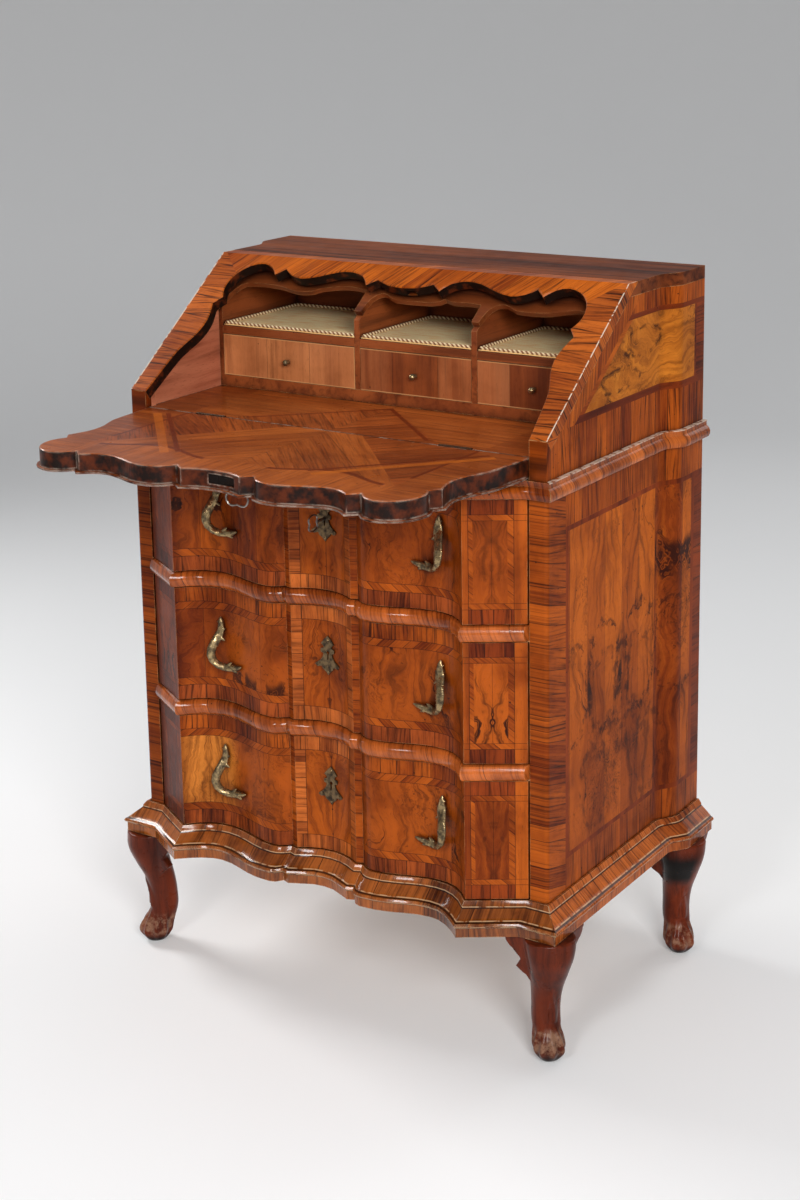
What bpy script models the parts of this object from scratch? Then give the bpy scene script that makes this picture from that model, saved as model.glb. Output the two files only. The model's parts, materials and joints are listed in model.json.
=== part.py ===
"""Drop-front cabinet: a walnut writing bureau on four cabriole legs.

A serpentine chest with three long drawers stands on a moulded plinth. Above the waist moulding a
sloping frame with a shaped opening holds the fall, which is shown open. Inside are three small
drawers with three lined pigeonholes over them.

Metres, +Z up. The front faces -Y. The pieces are drawn with y = 0 in the plane of the front faces of
the corner posts, and then moved together so that the origin is on the floor under the middle of the
whole outline with the fall open.
"""

import math

import bmesh
import bpy
from mathutils import Matrix, Vector

# Shared gaps
CLEARANCE = 0.0003
CUT_OVERRUN = 0.02
SLIDING_GAP = 0.0005
DRAWER_GAP = 0.0010

# Carcass
BODY_WIDTH = 0.6774
BODY_DEPTH = 0.4223
OVERALL_HEIGHT = 1.02
SIDE_THICKNESS = 0.0220
SIDE_FLARE = 0.0184
POST_WIDTH = 0.0264
POST_DEPTH = 0.0220
POST_ROUNDING = 0.0060
TOP_THICKNESS = 0.0180
BACK_THICKNESS = 0.0120
BOTTOM_THICKNESS = 0.0180
RAIL_DEPTH = 0.0600
RUNNER_WIDTH = 0.0334

# Plan of the serpentine front: depths are how far it stands before the posts
FRONT_SIDE_GAP = 0.0028
CENTRE_DEPTH = 0.0070
CENTRE_RISE = 0.0170
NOTCH_DEPTH = 0.0205
BULGE_DEPTH = 0.0330
HOLLOW_DEPTH = 0.0115
ARRIS_DEPTH = 0.0440
ARRIS_SHARPNESS = 2.4
STEEPEST_WIDENING = 1.15

# Sloping front
SLOPE_FRAME_THICKNESS = 0.0160
FRAME_EDGE_CHAMFER = 0.0015
HINGE_Y = 0.0060
FALL_LIP = 0.0035
FALL_LIP_OVERHANG = 0.0035
FALL_SIDE_GAP = 0.0012
FALL_EDGE_CHAMFER = 0.0010
FALL_REST_GAP = 0.0005

# Writing interior
PIGEONHOLE_BACK_GAP = 0.0363
PIGEONHOLE_BACK_THICKNESS = 0.0060
CASE_BASE_THICKNESS = 0.0170
CASE_SIDE_THICKNESS = 0.0074
DIVIDER_THICKNESS = 0.0090
SHELF_THICKNESS = 0.0120
LINING_THICKNESS = 0.0016
LINING_SIDE_GAP = 0.0010
LINING_FRONT_GAP = 0.0010
VALANCE_THICKNESS = 0.0080
VALANCE_GAP = 0.0010

# Long drawers
FRONT_BOARD_BACK_Y = 0.0140
DRAWER_BACK_GAP = 0.0260
DRAWER_SIDE = 0.0100
DRAWER_BOTTOM = 0.0060
DRAWER_HEADROOM = 0.0140
DRAWER_SIDE_GAP = 0.0040

# Small drawers
SMALL_DRAWER_BACK_GAP = 0.0030
SMALL_DRAWER_FRONT = 0.0100
SMALL_DRAWER_WALL = 0.0060
SMALL_DRAWER_BOTTOM = 0.0050
SMALL_DRAWER_DROP = 0.0060
KNOB_DROP = 0.0020
KNOB_RADIUS = 0.0048
KNOB_LENGTH = 0.0110
KNOB_STEM_RADIUS = 0.0024

# Legs: the foot stands this far from the carcass corner, and the knee swings out on the diagonal
FOOT_INSET_X = -0.0010
FOOT_INSET_Y = 0.0016
REAR_FOOT_INSET_X = 0.0020
REAR_FOOT_INSET_Y = 0.0497
FOOT_REACH = 0.0160
KNEE_REACH = 0.0240
ANKLE_HALF_WIDTH = 0.0195
BRACKET_REACH = 0.0630
REAR_BRACKET_REACH = 0.0545
BRACKET_THICKNESS = 0.0180
BRACKET_FACE = 0.0165

# Pulls, escutcheons, locks and keys
HANDLE_HEIGHT = 0.0760
HANDLE_SHIFT_X = 0.0035
HANDLE_POST_RADIUS = 0.0030
HANDLE_RISES = (0.0110, 0.0040, 0.0040)
ESCUTCHEON_WIDTH = 0.0400
ESCUTCHEON_HEIGHT = 0.0560
ESCUTCHEON_THICKNESS = 0.0018
ESCUTCHEON_DROP = 0.0040
NAIL_RADIUS = 0.0017
NAIL_HEIGHT = 0.0012
KEYHOLE_RISE = 0.0180
KEYHOLE_RADIUS = 0.0027
KEYHOLE_SLOT_WIDTH = 0.0026
KEYHOLE_SLOT_LENGTH = 0.0100
KEY_SHANK_RADIUS = 0.0020
KEY_BIT_REACH = 0.0070
KEY_BIT_WIDTH = 0.0016
KEY_BIT_LENGTH = 0.0050
KEY_BOW_WIRE = 0.0013
FALL_KEY_BOW_WIDTH = 0.0350
FALL_KEY_BOW_HEIGHT = 0.0185
FALL_KEY_NECK = 0.0060
DRAWER_KEY_BOW_WIDTH = 0.0225
DRAWER_KEY_BOW_HEIGHT = 0.0200
DRAWER_KEY_NECK = 0.0170
LOCK_WIDTH = 0.0440
LOCK_THICKNESS = 0.0120
LOCK_TAIL = 0.0130
LOCK_POCKET_RADIUS = 0.0090
LOCK_POCKET_DEPTH = 0.0065
BOLT_WIDTH = 0.0140
BOLT_THICKNESS = 0.0070
BOLT_LENGTH = 0.0180
BOLT_TRAVEL = 0.0060
BOLT_SETBACK = 0.0006
FALL_LOCK_X = 0.0120
FALL_LOCK_BACKSET = 0.0280
FALL_LOCK_COVER = 0.0060

# Butt hinges of the fall
HINGE_LENGTH = 0.0500
HINGE_LEAF_HEIGHT = 0.0180
HINGE_LEAF_THICKNESS = 0.0014
HINGE_BARREL_RADIUS = 0.0022
HINGE_PIN_RADIUS = 0.0010
HINGE_BORE_RADIUS = 0.0013
HINGE_MIDDLE_KNUCKLE = 0.0170

# Counts
CURVE_STEPS = 2
ROUND_SIDES = 16
WIRE_SIDES_RESOLUTION = 1

# Heights as shares of the overall height: how high a piece is, or at what height it stands
LEG_HEIGHT_SHARE = 0.17647
PLINTH_HEIGHT_SHARE = 0.04265
DRAWER_OPENING_SHARE = 0.16520
RAIL_HEIGHT_SHARE = 0.02206
WAIST_HEIGHT_SHARE = 0.02471
BED_THICKNESS_SHARE = 0.02667
SLOPE_START_SHARE = 0.83500
SHELF_HEIGHT_SHARE = 0.88873
BRACKET_HEIGHT_SHARE = 0.09804

# Depths as shares of the body's depth, measured back from the posts
FLARE_START_SHARE = 0.74497
FLARE_END_SHARE = 0.84182
SLOPE_TOP_SHARE = 0.53445
PIGEONHOLE_FRONT_SHARE = 0.42624

# Places along the serpentine front, as shares of its half width
CENTRE_HALF_WIDTH_SHARE = 0.16155
NOTCH_HALF_WIDTH_SHARE = 0.19386
BULGE_HALF_WIDTH_SHARE = 0.27141
HOLLOW_HALF_WIDTH_SHARE = 0.56866
ARRIS_HALF_WIDTH_SHARE = 0.76898
HANDLE_PLACE_SHARE = 0.55574
HINGE_PLACE_SHARE = 0.64620
DIVIDER_1_PLACE_SHARE = -0.22294
DIVIDER_2_PLACE_SHARE = 0.40388

# Shaped opening in the sloping frame: the right half, from the waist to the middle. Each run is a
# smooth curve and the runs meet at sharp points. Across is a share of half the body's width, and up
# is a share of the slope's length.
OPENING_RUN_SHARES = (
    ((0.921, 0.000), (0.911, 0.142), (0.898, 0.288), (0.864, 0.398), (0.852, 0.480), (0.858, 0.551),
     (0.881, 0.636)),
    ((0.881, 0.636), (0.850, 0.686)),
    ((0.850, 0.686), (0.869, 0.732), (0.874, 0.789), (0.858, 0.860), (0.812, 0.920), (0.750, 0.943),
     (0.697, 0.920), (0.660, 0.872)),
    ((0.660, 0.872), (0.620, 0.918)),
    ((0.620, 0.918), (0.576, 0.879), (0.514, 0.860), (0.434, 0.885), (0.354, 0.924), (0.283, 0.934),
     (0.218, 0.909), (0.180, 0.853)),
    ((0.180, 0.853), (0.137, 0.895)),
    ((0.137, 0.895), (0.074, 0.863), (0.000, 0.854)),
)
# Lower edge of the valance behind it, from left to right in the same shares, one run over each
# pigeonhole. Between the runs it drops to the brackets beside the dividers.
VALANCE_RUN_SHARES = (
    ((-0.934, 0.640), (-0.900, 0.780), (-0.866, 0.855), (-0.828, 0.873), (-0.747, 0.877),
     (-0.654, 0.868), (-0.600, 0.852), (-0.546, 0.845), (-0.487, 0.855), (-0.449, 0.880),
     (-0.365, 0.903), (-0.306, 0.908), (-0.250, 0.900), (-0.221, 0.895)),
    ((-0.187, 0.760), (-0.176, 0.840), (-0.140, 0.880), (-0.106, 0.874), (-0.058, 0.846),
     (0.065, 0.846), (0.120, 0.850), (0.157, 0.862), (0.175, 0.879), (0.212, 0.865), (0.288, 0.867),
     (0.352, 0.862)),
    ((0.386, 0.750), (0.396, 0.820), (0.420, 0.862), (0.460, 0.876), (0.505, 0.854), (0.528, 0.843),
     (0.611, 0.841), (0.677, 0.849), (0.737, 0.868), (0.799, 0.880), (0.860, 0.855), (0.900, 0.780),
     (0.934, 0.640)),
)
VALANCE_BRACKET_SHARE = 0.745
# Mouldings: how far each level stands out, as a share of the projection, and its height as a share
# of the moulding's height
WAIST_PROJECTION = 0.0120
WAIST_PROFILE_SHARES = (
    (0.30, 0.00), (0.80, 0.06), (0.97, 0.22), (1.00, 0.40), (0.84, 0.58), (0.55, 0.70), (0.50, 0.86),
    (0.62, 1.00),
)
PLINTH_PROJECTION = 0.0280
PLINTH_PROFILE_SHARES = (
    (0.88, 0.000), (0.88, 0.300), (0.96, 0.330), (1.00, 0.385), (0.95, 0.440), (0.84, 0.470),
    (0.65, 0.590), (0.40, 0.730), (0.28, 0.800), (0.25, 0.880), (0.12, 1.000),
)
RAIL_PROJECTION = 0.0100
RAIL_PROFILE_STEPS = 6
# Leg sections from the floor up: height share, outward share of the knee's reach, half length on
# the diagonal and half width across it as shares of the ankle's half width
LEG_SECTION_SHARES = (
    (0.000, 0.600, 0.60, 0.55), (0.030, 0.620, 0.95, 0.86), (0.090, 0.640, 1.30, 1.16),
    (0.160, 0.500, 1.28, 1.10), (0.240, 0.180, 1.10, 1.00), (0.320, 0.000, 1.02, 1.00),
    (0.430, 0.030, 1.03, 1.00), (0.560, 0.220, 1.12, 1.10), (0.700, 0.600, 1.30, 1.32),
    (0.860, 0.950, 1.48, 1.62), (1.000, 0.900, 1.52, 1.80),
)
LEG_SECTION_SIDES = 16
# Bracket beside the knee: along the plinth and down, as shares of its reach and height
BRACKET_OUTLINE_SHARES = (
    (0.00, 0.00), (1.00, 0.00), (0.963, -0.126), (0.825, -0.22), (0.624, -0.36), (0.70, -0.42),
    (0.76, -0.50), (0.667, -0.55), (0.54, -0.60), (0.397, -0.73), (0.333, -0.85), (0.30, -1.00),
    (0.00, -1.00),
)
# Strap of a pull, from the tip of its upper leaf round to the end of its lower leaf: outwards across
# the drawer, out from the drawer and up, and its half width, as shares of the pull's height; then
# the direction of its width
HANDLE_STRAP_SHARES = (
    (0.150, 0.046, 0.500, 0.008, (1, 0, 0)), (0.142, 0.052, 0.430, 0.040, (1, 0, 0)),
    (0.138, 0.054, 0.345, 0.056, (1, 0, 0)), (0.142, 0.064, 0.250, 0.064, (1, 0, 0)),
    (0.164, 0.100, 0.150, 0.074, (0.8, 0.5, 0)), (0.204, 0.160, 0.040, 0.076, (0.6, 0.8, 0)),
    (0.238, 0.220, -0.080, 0.076, (0.6, 0.8, 0)), (0.248, 0.240, -0.190, 0.074, (0.6, 0.8, 0)),
    (0.220, 0.220, -0.300, 0.070, (0.5, 0.8, -0.2)), (0.146, 0.176, -0.395, 0.066, (0.1, 0.8, -0.5)),
    (0.040, 0.120, -0.440, 0.062, (0, 0.5, -0.8)), (-0.085, 0.084, -0.447, 0.058, (0, 0.2, -1)),
    (-0.200, 0.068, -0.430, 0.050, (0, 0, -1)), (-0.300, 0.062, -0.396, 0.030, (0, 0, -1)),
    (-0.366, 0.060, -0.368, 0.008, (0, 0, -1)),
)
# Small leaf tips of a pull: from and to, in the same shares, with half the width at the root
HANDLE_TIP_SHARES = (
    ((-0.060, 0.080, -0.440), (-0.260, 0.062, -0.500), 0.034),
    ((0.000, 0.094, -0.430), (-0.110, 0.072, -0.335), 0.028),
    ((0.172, 0.096, 0.150), (0.050, 0.072, 0.060), 0.030),
    ((0.140, 0.060, 0.250), (0.050, 0.054, 0.290), 0.028),
    ((0.142, 0.054, 0.380), (0.215, 0.052, 0.425), 0.024),
)
HANDLE_THICKNESS_SHARE = 0.030
HANDLE_POST_SHARES = ((0.150, 0.290), (-0.130, -0.430))
HANDLE_STRAP_SIDES = 8
# Escutcheon outline, right half from the top down: across and up, as shares of half its width and
# half its height
ESCUTCHEON_OUTLINE_SHARES = (
    (0.00, 1.00), (0.22, 0.86), (0.52, 0.60), (0.34, 0.50), (0.30, 0.38), (0.56, 0.32), (0.54, 0.16),
    (0.32, 0.10), (0.40, -0.08), (0.60, -0.28), (1.00, -0.48), (0.82, -0.62), (0.50, -0.56),
    (0.42, -0.70), (0.16, -0.84), (0.00, -1.00),
)
ESCUTCHEON_NAIL_SHARES = ((0.00, 0.72), (0.68, -0.44), (-0.68, -0.44))
# Bow of a key, the right half from the neck round to the top, as shares of half its width and its
# height
KEY_BOW_SHARES = (
    (0.00, 0.10), (0.40, 0.00), (0.80, 0.10), (1.00, 0.50), (0.80, 0.90), (0.40, 1.00), (0.00, 0.90),
)

# Places that follow from the sizes above
HALF_WIDTH = BODY_WIDTH / 2
FRONT_HALF_WIDTH = HALF_WIDTH - POST_WIDTH - FRONT_SIDE_GAP
CENTRE_HALF_WIDTH = FRONT_HALF_WIDTH * CENTRE_HALF_WIDTH_SHARE
NOTCH_HALF_WIDTH = FRONT_HALF_WIDTH * NOTCH_HALF_WIDTH_SHARE
BULGE_HALF_WIDTH = FRONT_HALF_WIDTH * BULGE_HALF_WIDTH_SHARE
HOLLOW_HALF_WIDTH = FRONT_HALF_WIDTH * HOLLOW_HALF_WIDTH_SHARE
ARRIS_HALF_WIDTH = FRONT_HALF_WIDTH * ARRIS_HALF_WIDTH_SHARE
HANDLE_OFFSET_X = FRONT_HALF_WIDTH * HANDLE_PLACE_SHARE
HINGE_X = FRONT_HALF_WIDTH * HINGE_PLACE_SHARE
DIVIDER_1_X = FRONT_HALF_WIDTH * DIVIDER_1_PLACE_SHARE
DIVIDER_2_X = FRONT_HALF_WIDTH * DIVIDER_2_PLACE_SHARE
LEG_HEIGHT = OVERALL_HEIGHT * LEG_HEIGHT_SHARE
PLINTH_HEIGHT = OVERALL_HEIGHT * PLINTH_HEIGHT_SHARE
DRAWER_OPENING = OVERALL_HEIGHT * DRAWER_OPENING_SHARE
RAIL_HEIGHT = OVERALL_HEIGHT * RAIL_HEIGHT_SHARE
WAIST_HEIGHT = OVERALL_HEIGHT * WAIST_HEIGHT_SHARE
BED_THICKNESS = OVERALL_HEIGHT * BED_THICKNESS_SHARE
BRACKET_HEIGHT = OVERALL_HEIGHT * BRACKET_HEIGHT_SHARE
SLOPE_START_Z = OVERALL_HEIGHT * SLOPE_START_SHARE
SHELF_Z = OVERALL_HEIGHT * SHELF_HEIGHT_SHARE
FLARE_START = BODY_DEPTH * FLARE_START_SHARE
FLARE_END = BODY_DEPTH * FLARE_END_SHARE
SLOPE_TOP_Y = BODY_DEPTH * SLOPE_TOP_SHARE
PIGEONHOLE_FRONT_Y = BODY_DEPTH * PIGEONHOLE_FRONT_SHARE
PLINTH_Z = LEG_HEIGHT + CLEARANCE
PLINTH_TOP_Z = PLINTH_Z + PLINTH_HEIGHT
RAIL_LOWER_Z = PLINTH_TOP_Z + DRAWER_OPENING
RAIL_UPPER_Z = RAIL_LOWER_Z + RAIL_HEIGHT + DRAWER_OPENING
WAIST_Z = RAIL_UPPER_Z + RAIL_HEIGHT + DRAWER_OPENING
WAIST_TOP_Z = WAIST_Z + WAIST_HEIGHT
BED_Z = WAIST_TOP_Z + CLEARANCE
BED_TOP_Z = BED_Z + BED_THICKNESS
TOP_Z = OVERALL_HEIGHT - TOP_THICKNESS
HINGE_Z = BED_TOP_Z
SLOPE_ANGLE = math.atan2(OVERALL_HEIGHT - SLOPE_START_Z, SLOPE_TOP_Y)
SLOPE_LENGTH = math.hypot(OVERALL_HEIGHT - SLOPE_START_Z, SLOPE_TOP_Y)
INNER_X = HALF_WIDTH - SIDE_THICKNESS
POST_INNER_X = HALF_WIDTH - POST_WIDTH
BACK_Y = BODY_DEPTH - BACK_THICKNESS
PIGEONHOLE_BACK_Y = BACK_Y - PIGEONHOLE_BACK_GAP - PIGEONHOLE_BACK_THICKNESS
DRAWER_DEPTH = BACK_Y - DRAWER_BACK_GAP - FRONT_BOARD_BACK_Y - CLEARANCE
SMALL_DRAWER_DEPTH = PIGEONHOLE_BACK_Y - PIGEONHOLE_FRONT_Y - SMALL_DRAWER_BACK_GAP
FALL_DEPTH = (
    (SLOPE_START_Z - HINGE_Z) * math.cos(SLOPE_ANGLE) + HINGE_Y * math.sin(SLOPE_ANGLE)
)
FALL_SLOPE_OFFSET = (
    HINGE_Y * math.cos(SLOPE_ANGLE) + (HINGE_Z - SLOPE_START_Z) * math.sin(SLOPE_ANGLE)
)
CASE_BASE_Z = BED_TOP_Z + CLEARANCE
CASE_FLOOR_Z = CASE_BASE_Z + CASE_BASE_THICKNESS
SHELF_TOP_Z = SHELF_Z + SHELF_THICKNESS
INTERIOR_TOP_Z = TOP_Z - CLEARANCE
VALANCE_DEPTH = FALL_DEPTH + VALANCE_GAP
CASE_SLOPE_DEPTH = VALANCE_DEPTH + VALANCE_THICKNESS + CLEARANCE

MATERIALS = {
    "walnut_front": ((0.190, 0.058, 0.014), 0.32, 0.0),
    "walnut_side": ((0.290, 0.100, 0.022), 0.32, 0.0),
    "walnut_top": ((0.085, 0.032, 0.014), 0.34, 0.0),
    "walnut_moulding": ((0.230, 0.070, 0.016), 0.28, 0.0),
    "walnut_writing": ((0.250, 0.075, 0.018), 0.30, 0.0),
    "stained_beech": ((0.095, 0.024, 0.010), 0.38, 0.0),
    "pine_inner": ((0.330, 0.170, 0.070), 0.62, 0.0),
    "brass": ((0.420, 0.330, 0.170), 0.34, 1.0),
    "steel": ((0.300, 0.290, 0.270), 0.40, 1.0),
    "fabric": ((0.330, 0.290, 0.190), 0.90, 0.0),
}


def remove_old_objects():
    """Empty the scene."""
    for old in list(bpy.data.objects):
        bpy.data.objects.remove(old, do_unlink=True)


def new_collection(name):
    """A collection in the scene."""
    collection = bpy.data.collections.new(name)
    bpy.context.scene.collection.children.link(collection)
    return collection


remove_old_objects()
PARTS = new_collection("drop_front_cabinet")
CUTTERS = new_collection("cutters")


def finish(name):
    """A material by the name of its finish."""
    found = bpy.data.materials.get(name)
    if found:
        return found
    colour, roughness, metallic = MATERIALS[name]
    made = bpy.data.materials.new(name)
    made.use_nodes = True
    shader = made.node_tree.nodes["Principled BSDF"]
    shader.inputs["Base Color"].default_value = (*colour, 1.0)
    shader.inputs["Roughness"].default_value = roughness
    shader.inputs["Metallic"].default_value = metallic
    made.diffuse_color = (*colour, 1.0)
    return made


def add_object(name, mesh, collection=PARTS):
    """Put a mesh in a collection as an object."""
    made = bpy.data.objects.new(name, mesh)
    collection.objects.link(made)
    return made


def mesh_from(builder):
    """A mesh from a bmesh, with its faces pointing outwards."""
    bmesh.ops.recalc_face_normals(builder, faces=builder.faces)
    mesh = bpy.data.meshes.new("shape")
    builder.to_mesh(mesh)
    builder.free()
    return mesh


def loft(rings):
    """A closed mesh through rings with the same number of points each."""
    builder = bmesh.new()
    rows = [[builder.verts.new(point) for point in ring] for ring in rings]
    for lower, upper in zip(rows, rows[1:]):
        for index in range(len(lower)):
            after = (index + 1) % len(lower)
            builder.faces.new((lower[index], lower[after], upper[after], upper[index]))
    builder.faces.new(rows[0])
    builder.faces.new(rows[-1])
    return mesh_from(builder)


def prism(outline, low, high):
    """A closed mesh standing on a flat outline of (x, y) points."""
    return loft([[(x, y, z) for x, y in outline] for z in (low, high)])


def side_prism(outline, low, high):
    """A closed mesh from an outline of (y, z) points, drawn out along X."""
    return loft([[(x, y, z) for y, z in outline] for x in (low, high)])


def front_prism(outline, low, high):
    """A closed mesh from an outline of (x, z) points, drawn out along Y."""
    return loft([[(x, y, z) for x, z in outline] for y in (low, high)])


def box_mesh(low, high):
    """A box between two corners."""
    builder = bmesh.new()
    bmesh.ops.create_cube(builder, size=1)
    middle = [(a + b) / 2 for a, b in zip(low, high)]
    size = [b - a for a, b in zip(low, high)]
    bmesh.ops.transform(
        builder, matrix=Matrix.Translation(middle) @ Matrix.Diagonal((*size, 1)), verts=builder.verts
    )
    return mesh_from(builder)


def rod_mesh(start, end, radius, sides=ROUND_SIDES):
    """A round rod between two points."""
    start = Vector(start)
    end = Vector(end)
    builder = bmesh.new()
    bmesh.ops.create_cone(
        builder, cap_ends=True, segments=sides, radius1=radius, radius2=radius,
        depth=(end - start).length,
    )
    turn = (end - start).to_track_quat("Z", "Y").to_matrix().to_4x4()
    bmesh.ops.transform(
        builder, matrix=Matrix.Translation((start + end) / 2) @ turn, verts=builder.verts
    )
    return mesh_from(builder)


def moved(mesh, matrix):
    """The same mesh after a move."""
    mesh.transform(matrix)
    if matrix.determinant() < 0:
        mesh.flip_normals()
    return mesh


def joined(name, base, others, operation):
    """Join other meshes to a base, or cut them from it, and return the mesh."""
    target = add_object(name + "_base", base, CUTTERS)
    tools = []
    for index, mesh in enumerate(others):
        tool = add_object(f"{name}_{operation.lower()}_{index}", mesh, CUTTERS)
        tool.hide_render = True
        tool.display_type = "WIRE"
        modifier = target.modifiers.new("shape", "BOOLEAN")
        modifier.operation = operation
        modifier.solver = "EXACT"
        modifier.object = tool
        tools.append(tool)
    evaluated = target.evaluated_get(bpy.context.evaluated_depsgraph_get())
    result = bpy.data.meshes.new_from_object(evaluated)
    bpy.data.objects.remove(target, do_unlink=True)
    for tool in tools:
        bpy.data.objects.remove(tool, do_unlink=True)
    builder = bmesh.new()
    builder.from_mesh(result)
    bmesh.ops.remove_doubles(builder, verts=builder.verts, dist=CLEARANCE / 30)
    bmesh.ops.dissolve_degenerate(builder, edges=builder.edges, dist=CLEARANCE / 30)
    builder.to_mesh(result)
    builder.free()
    return result


def cut(name, base, *cutters):
    """The base with the cutters taken out."""
    return joined(name, base, cutters, "DIFFERENCE")


def fused(name, base, *others):
    """The base and the others as one body."""
    return joined(name, base, others, "UNION")


def divided(mesh, places):
    """The mesh with an edge across it at each place along X, on both sides of the middle."""
    builder = bmesh.new()
    builder.from_mesh(mesh)
    for x in places:
        for side in (-1, 1):
            bmesh.ops.bisect_plane(
                builder, geom=builder.verts[:] + builder.edges[:] + builder.faces[:],
                plane_co=(side * x, 0, 0), plane_no=(1, 0, 0), dist=CLEARANCE / 300,
            )
    builder.to_mesh(mesh)
    builder.free()
    return mesh


def piece(name, mesh, finish_name, origin=(0, 0, 0), smooth=False):
    """A finished sub-part, with its origin on its joint's axis where it moves."""
    place = Vector(origin)
    mesh.transform(Matrix.Translation(-place))
    mesh.materials.clear()
    mesh.materials.append(finish(finish_name))
    if smooth:
        mesh.shade_smooth()
        mesh.set_sharp_from_angle(angle=math.radians(35))
    made = add_object(name, mesh)
    made.location = place
    return made


def smooth_run(points, steps=CURVE_STEPS):
    """Points of a smooth curve that passes through the given ones, without its last point."""
    made = []
    last = len(points) - 1
    for index in range(last):
        p0 = points[max(index - 1, 0)]
        p1 = points[index]
        p2 = points[index + 1]
        p3 = points[min(index + 2, last)]
        for step in range(steps):
            t = step / steps
            made.append(tuple(
                ((2 * b) + (c - a) * t + (2 * a - 5 * b + 4 * c - d) * t * t
                 + (3 * b - a - 3 * c + d) * t ** 3) / 2
                for a, b, c, d in zip(p0, p1, p2, p3)
            ))
    return made


def offset_line(points, distance):
    """An open line of points moved sideways, to the right of its direction, with mitred corners."""
    made = []
    for index, (x, y) in enumerate(points):
        normals = []
        for a, b in ((index - 1, index), (index, index + 1)):
            if a < 0 or b >= len(points):
                continue
            run = Vector(points[b]) - Vector(points[a])
            normals.append(Vector((run.y, -run.x)).normalized())
        middle = sum(normals, Vector((0, 0))).normalized()
        reach = distance / max(middle.dot(normals[0]), 0.5)
        made.append((x + middle.x * reach, y + middle.y * reach))
    return made


# Plan of the carcass


def front_stations():
    """The places across the right half of the front where its plan is drawn."""
    def between(low, high, count):
        return [low + (high - low) * step / count for step in range(count)]

    return (
        between(0, CENTRE_HALF_WIDTH, 3) + [CENTRE_HALF_WIDTH]
        + between(NOTCH_HALF_WIDTH, BULGE_HALF_WIDTH, 3)
        + between(BULGE_HALF_WIDTH, HOLLOW_HALF_WIDTH, 5)
        + between(HOLLOW_HALF_WIDTH, ARRIS_HALF_WIDTH, 4)
        + [ARRIS_HALF_WIDTH, FRONT_HALF_WIDTH]
    )


def front_depth(x):
    """How far the serpentine front stands before the posts, at a place across it."""
    across = abs(x)
    if across <= CENTRE_HALF_WIDTH:
        return CENTRE_DEPTH + CENTRE_RISE * (across / CENTRE_HALF_WIDTH) ** 2
    if across <= NOTCH_HALF_WIDTH:
        share = (across - CENTRE_HALF_WIDTH) / (NOTCH_HALF_WIDTH - CENTRE_HALF_WIDTH)
        cusp = CENTRE_DEPTH + CENTRE_RISE
        return cusp + (NOTCH_DEPTH - cusp) * share
    if across <= BULGE_HALF_WIDTH:
        share = (across - NOTCH_HALF_WIDTH) / (BULGE_HALF_WIDTH - NOTCH_HALF_WIDTH)
        return NOTCH_DEPTH + (BULGE_DEPTH - NOTCH_DEPTH) * math.sin(math.pi / 2 * share)
    if across <= HOLLOW_HALF_WIDTH:
        share = (across - BULGE_HALF_WIDTH) / (HOLLOW_HALF_WIDTH - BULGE_HALF_WIDTH)
        return BULGE_DEPTH + (HOLLOW_DEPTH - BULGE_DEPTH) * (1 - math.cos(math.pi * share)) / 2
    if across <= ARRIS_HALF_WIDTH:
        share = (across - HOLLOW_HALF_WIDTH) / (ARRIS_HALF_WIDTH - HOLLOW_HALF_WIDTH)
        return HOLLOW_DEPTH + (ARRIS_DEPTH - HOLLOW_DEPTH) * share ** ARRIS_SHARPNESS
    share = (across - ARRIS_HALF_WIDTH) / (FRONT_HALF_WIDTH - ARRIS_HALF_WIDTH)
    return max(ARRIS_DEPTH * (1 - share), 0)


def face_depth(x):
    """How far the flat steps of the drawn front stand before the posts, at a place across it."""
    across = abs(x)
    stations = front_stations()
    for near, far in zip(stations, stations[1:]):
        if across <= far:
            share = (across - near) / (far - near)
            return front_depth(near) + (front_depth(far) - front_depth(near)) * share
    return 0


def widening(places, depths):
    """How much more than its own projection a moulding stands out at each place of a wavy plan."""
    made = []
    for index in range(len(places)):
        before = max(index - 1, 0)
        after = min(index + 1, len(places) - 1)
        slope = (depths[after] - depths[before]) / (places[after] - places[before])
        made.append(min(math.hypot(1, slope), STEEPEST_WIDENING))
    made[-1] = 1
    return made


def front_line(projection):
    """The front's plan from left to right, with a moulding's projection added."""
    stations = front_stations()
    depths = [front_depth(x) for x in stations]
    widths = widening(stations, depths)
    right = [(x, -depth - projection * wide) for x, depth, wide in zip(stations, depths, widths)]
    return [(-x, y) for x, y in reversed(right[1:])] + right


def flare(y):
    """How far the side swells out near the back."""
    if y <= FLARE_START:
        return 0
    if y >= FLARE_END:
        return SIDE_FLARE
    share = (y - FLARE_START) / (FLARE_END - FLARE_START)
    return SIDE_FLARE * (1 - math.cos(math.pi * share)) / 2


def side_line(projection, first_y, last_y):
    """The right side's plan from front to back, with a moulding's projection added."""
    steps = 6
    waves = [FLARE_START + (FLARE_END - FLARE_START) * step / steps for step in range(steps + 1)]
    places = [first_y] + waves + [last_y]
    depths = [flare(y) for y in places]
    widths = widening(places, depths)
    return [
        (HALF_WIDTH + depth + projection * wide, y) for y, depth, wide in zip(places, depths, widths)
    ]


def mirrored(points):
    """The same outline on the left."""
    return [(-x, y) for x, y in points]


# Slope: across, up the slope from the waist, and down into the cabinet


def on_slope(x, up, depth):
    """A point given across, up the slope and below its surface."""
    return (
        x,
        up * math.cos(SLOPE_ANGLE) + depth * math.sin(SLOPE_ANGLE),
        SLOPE_START_Z + up * math.sin(SLOPE_ANGLE) - depth * math.cos(SLOPE_ANGLE),
    )


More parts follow.
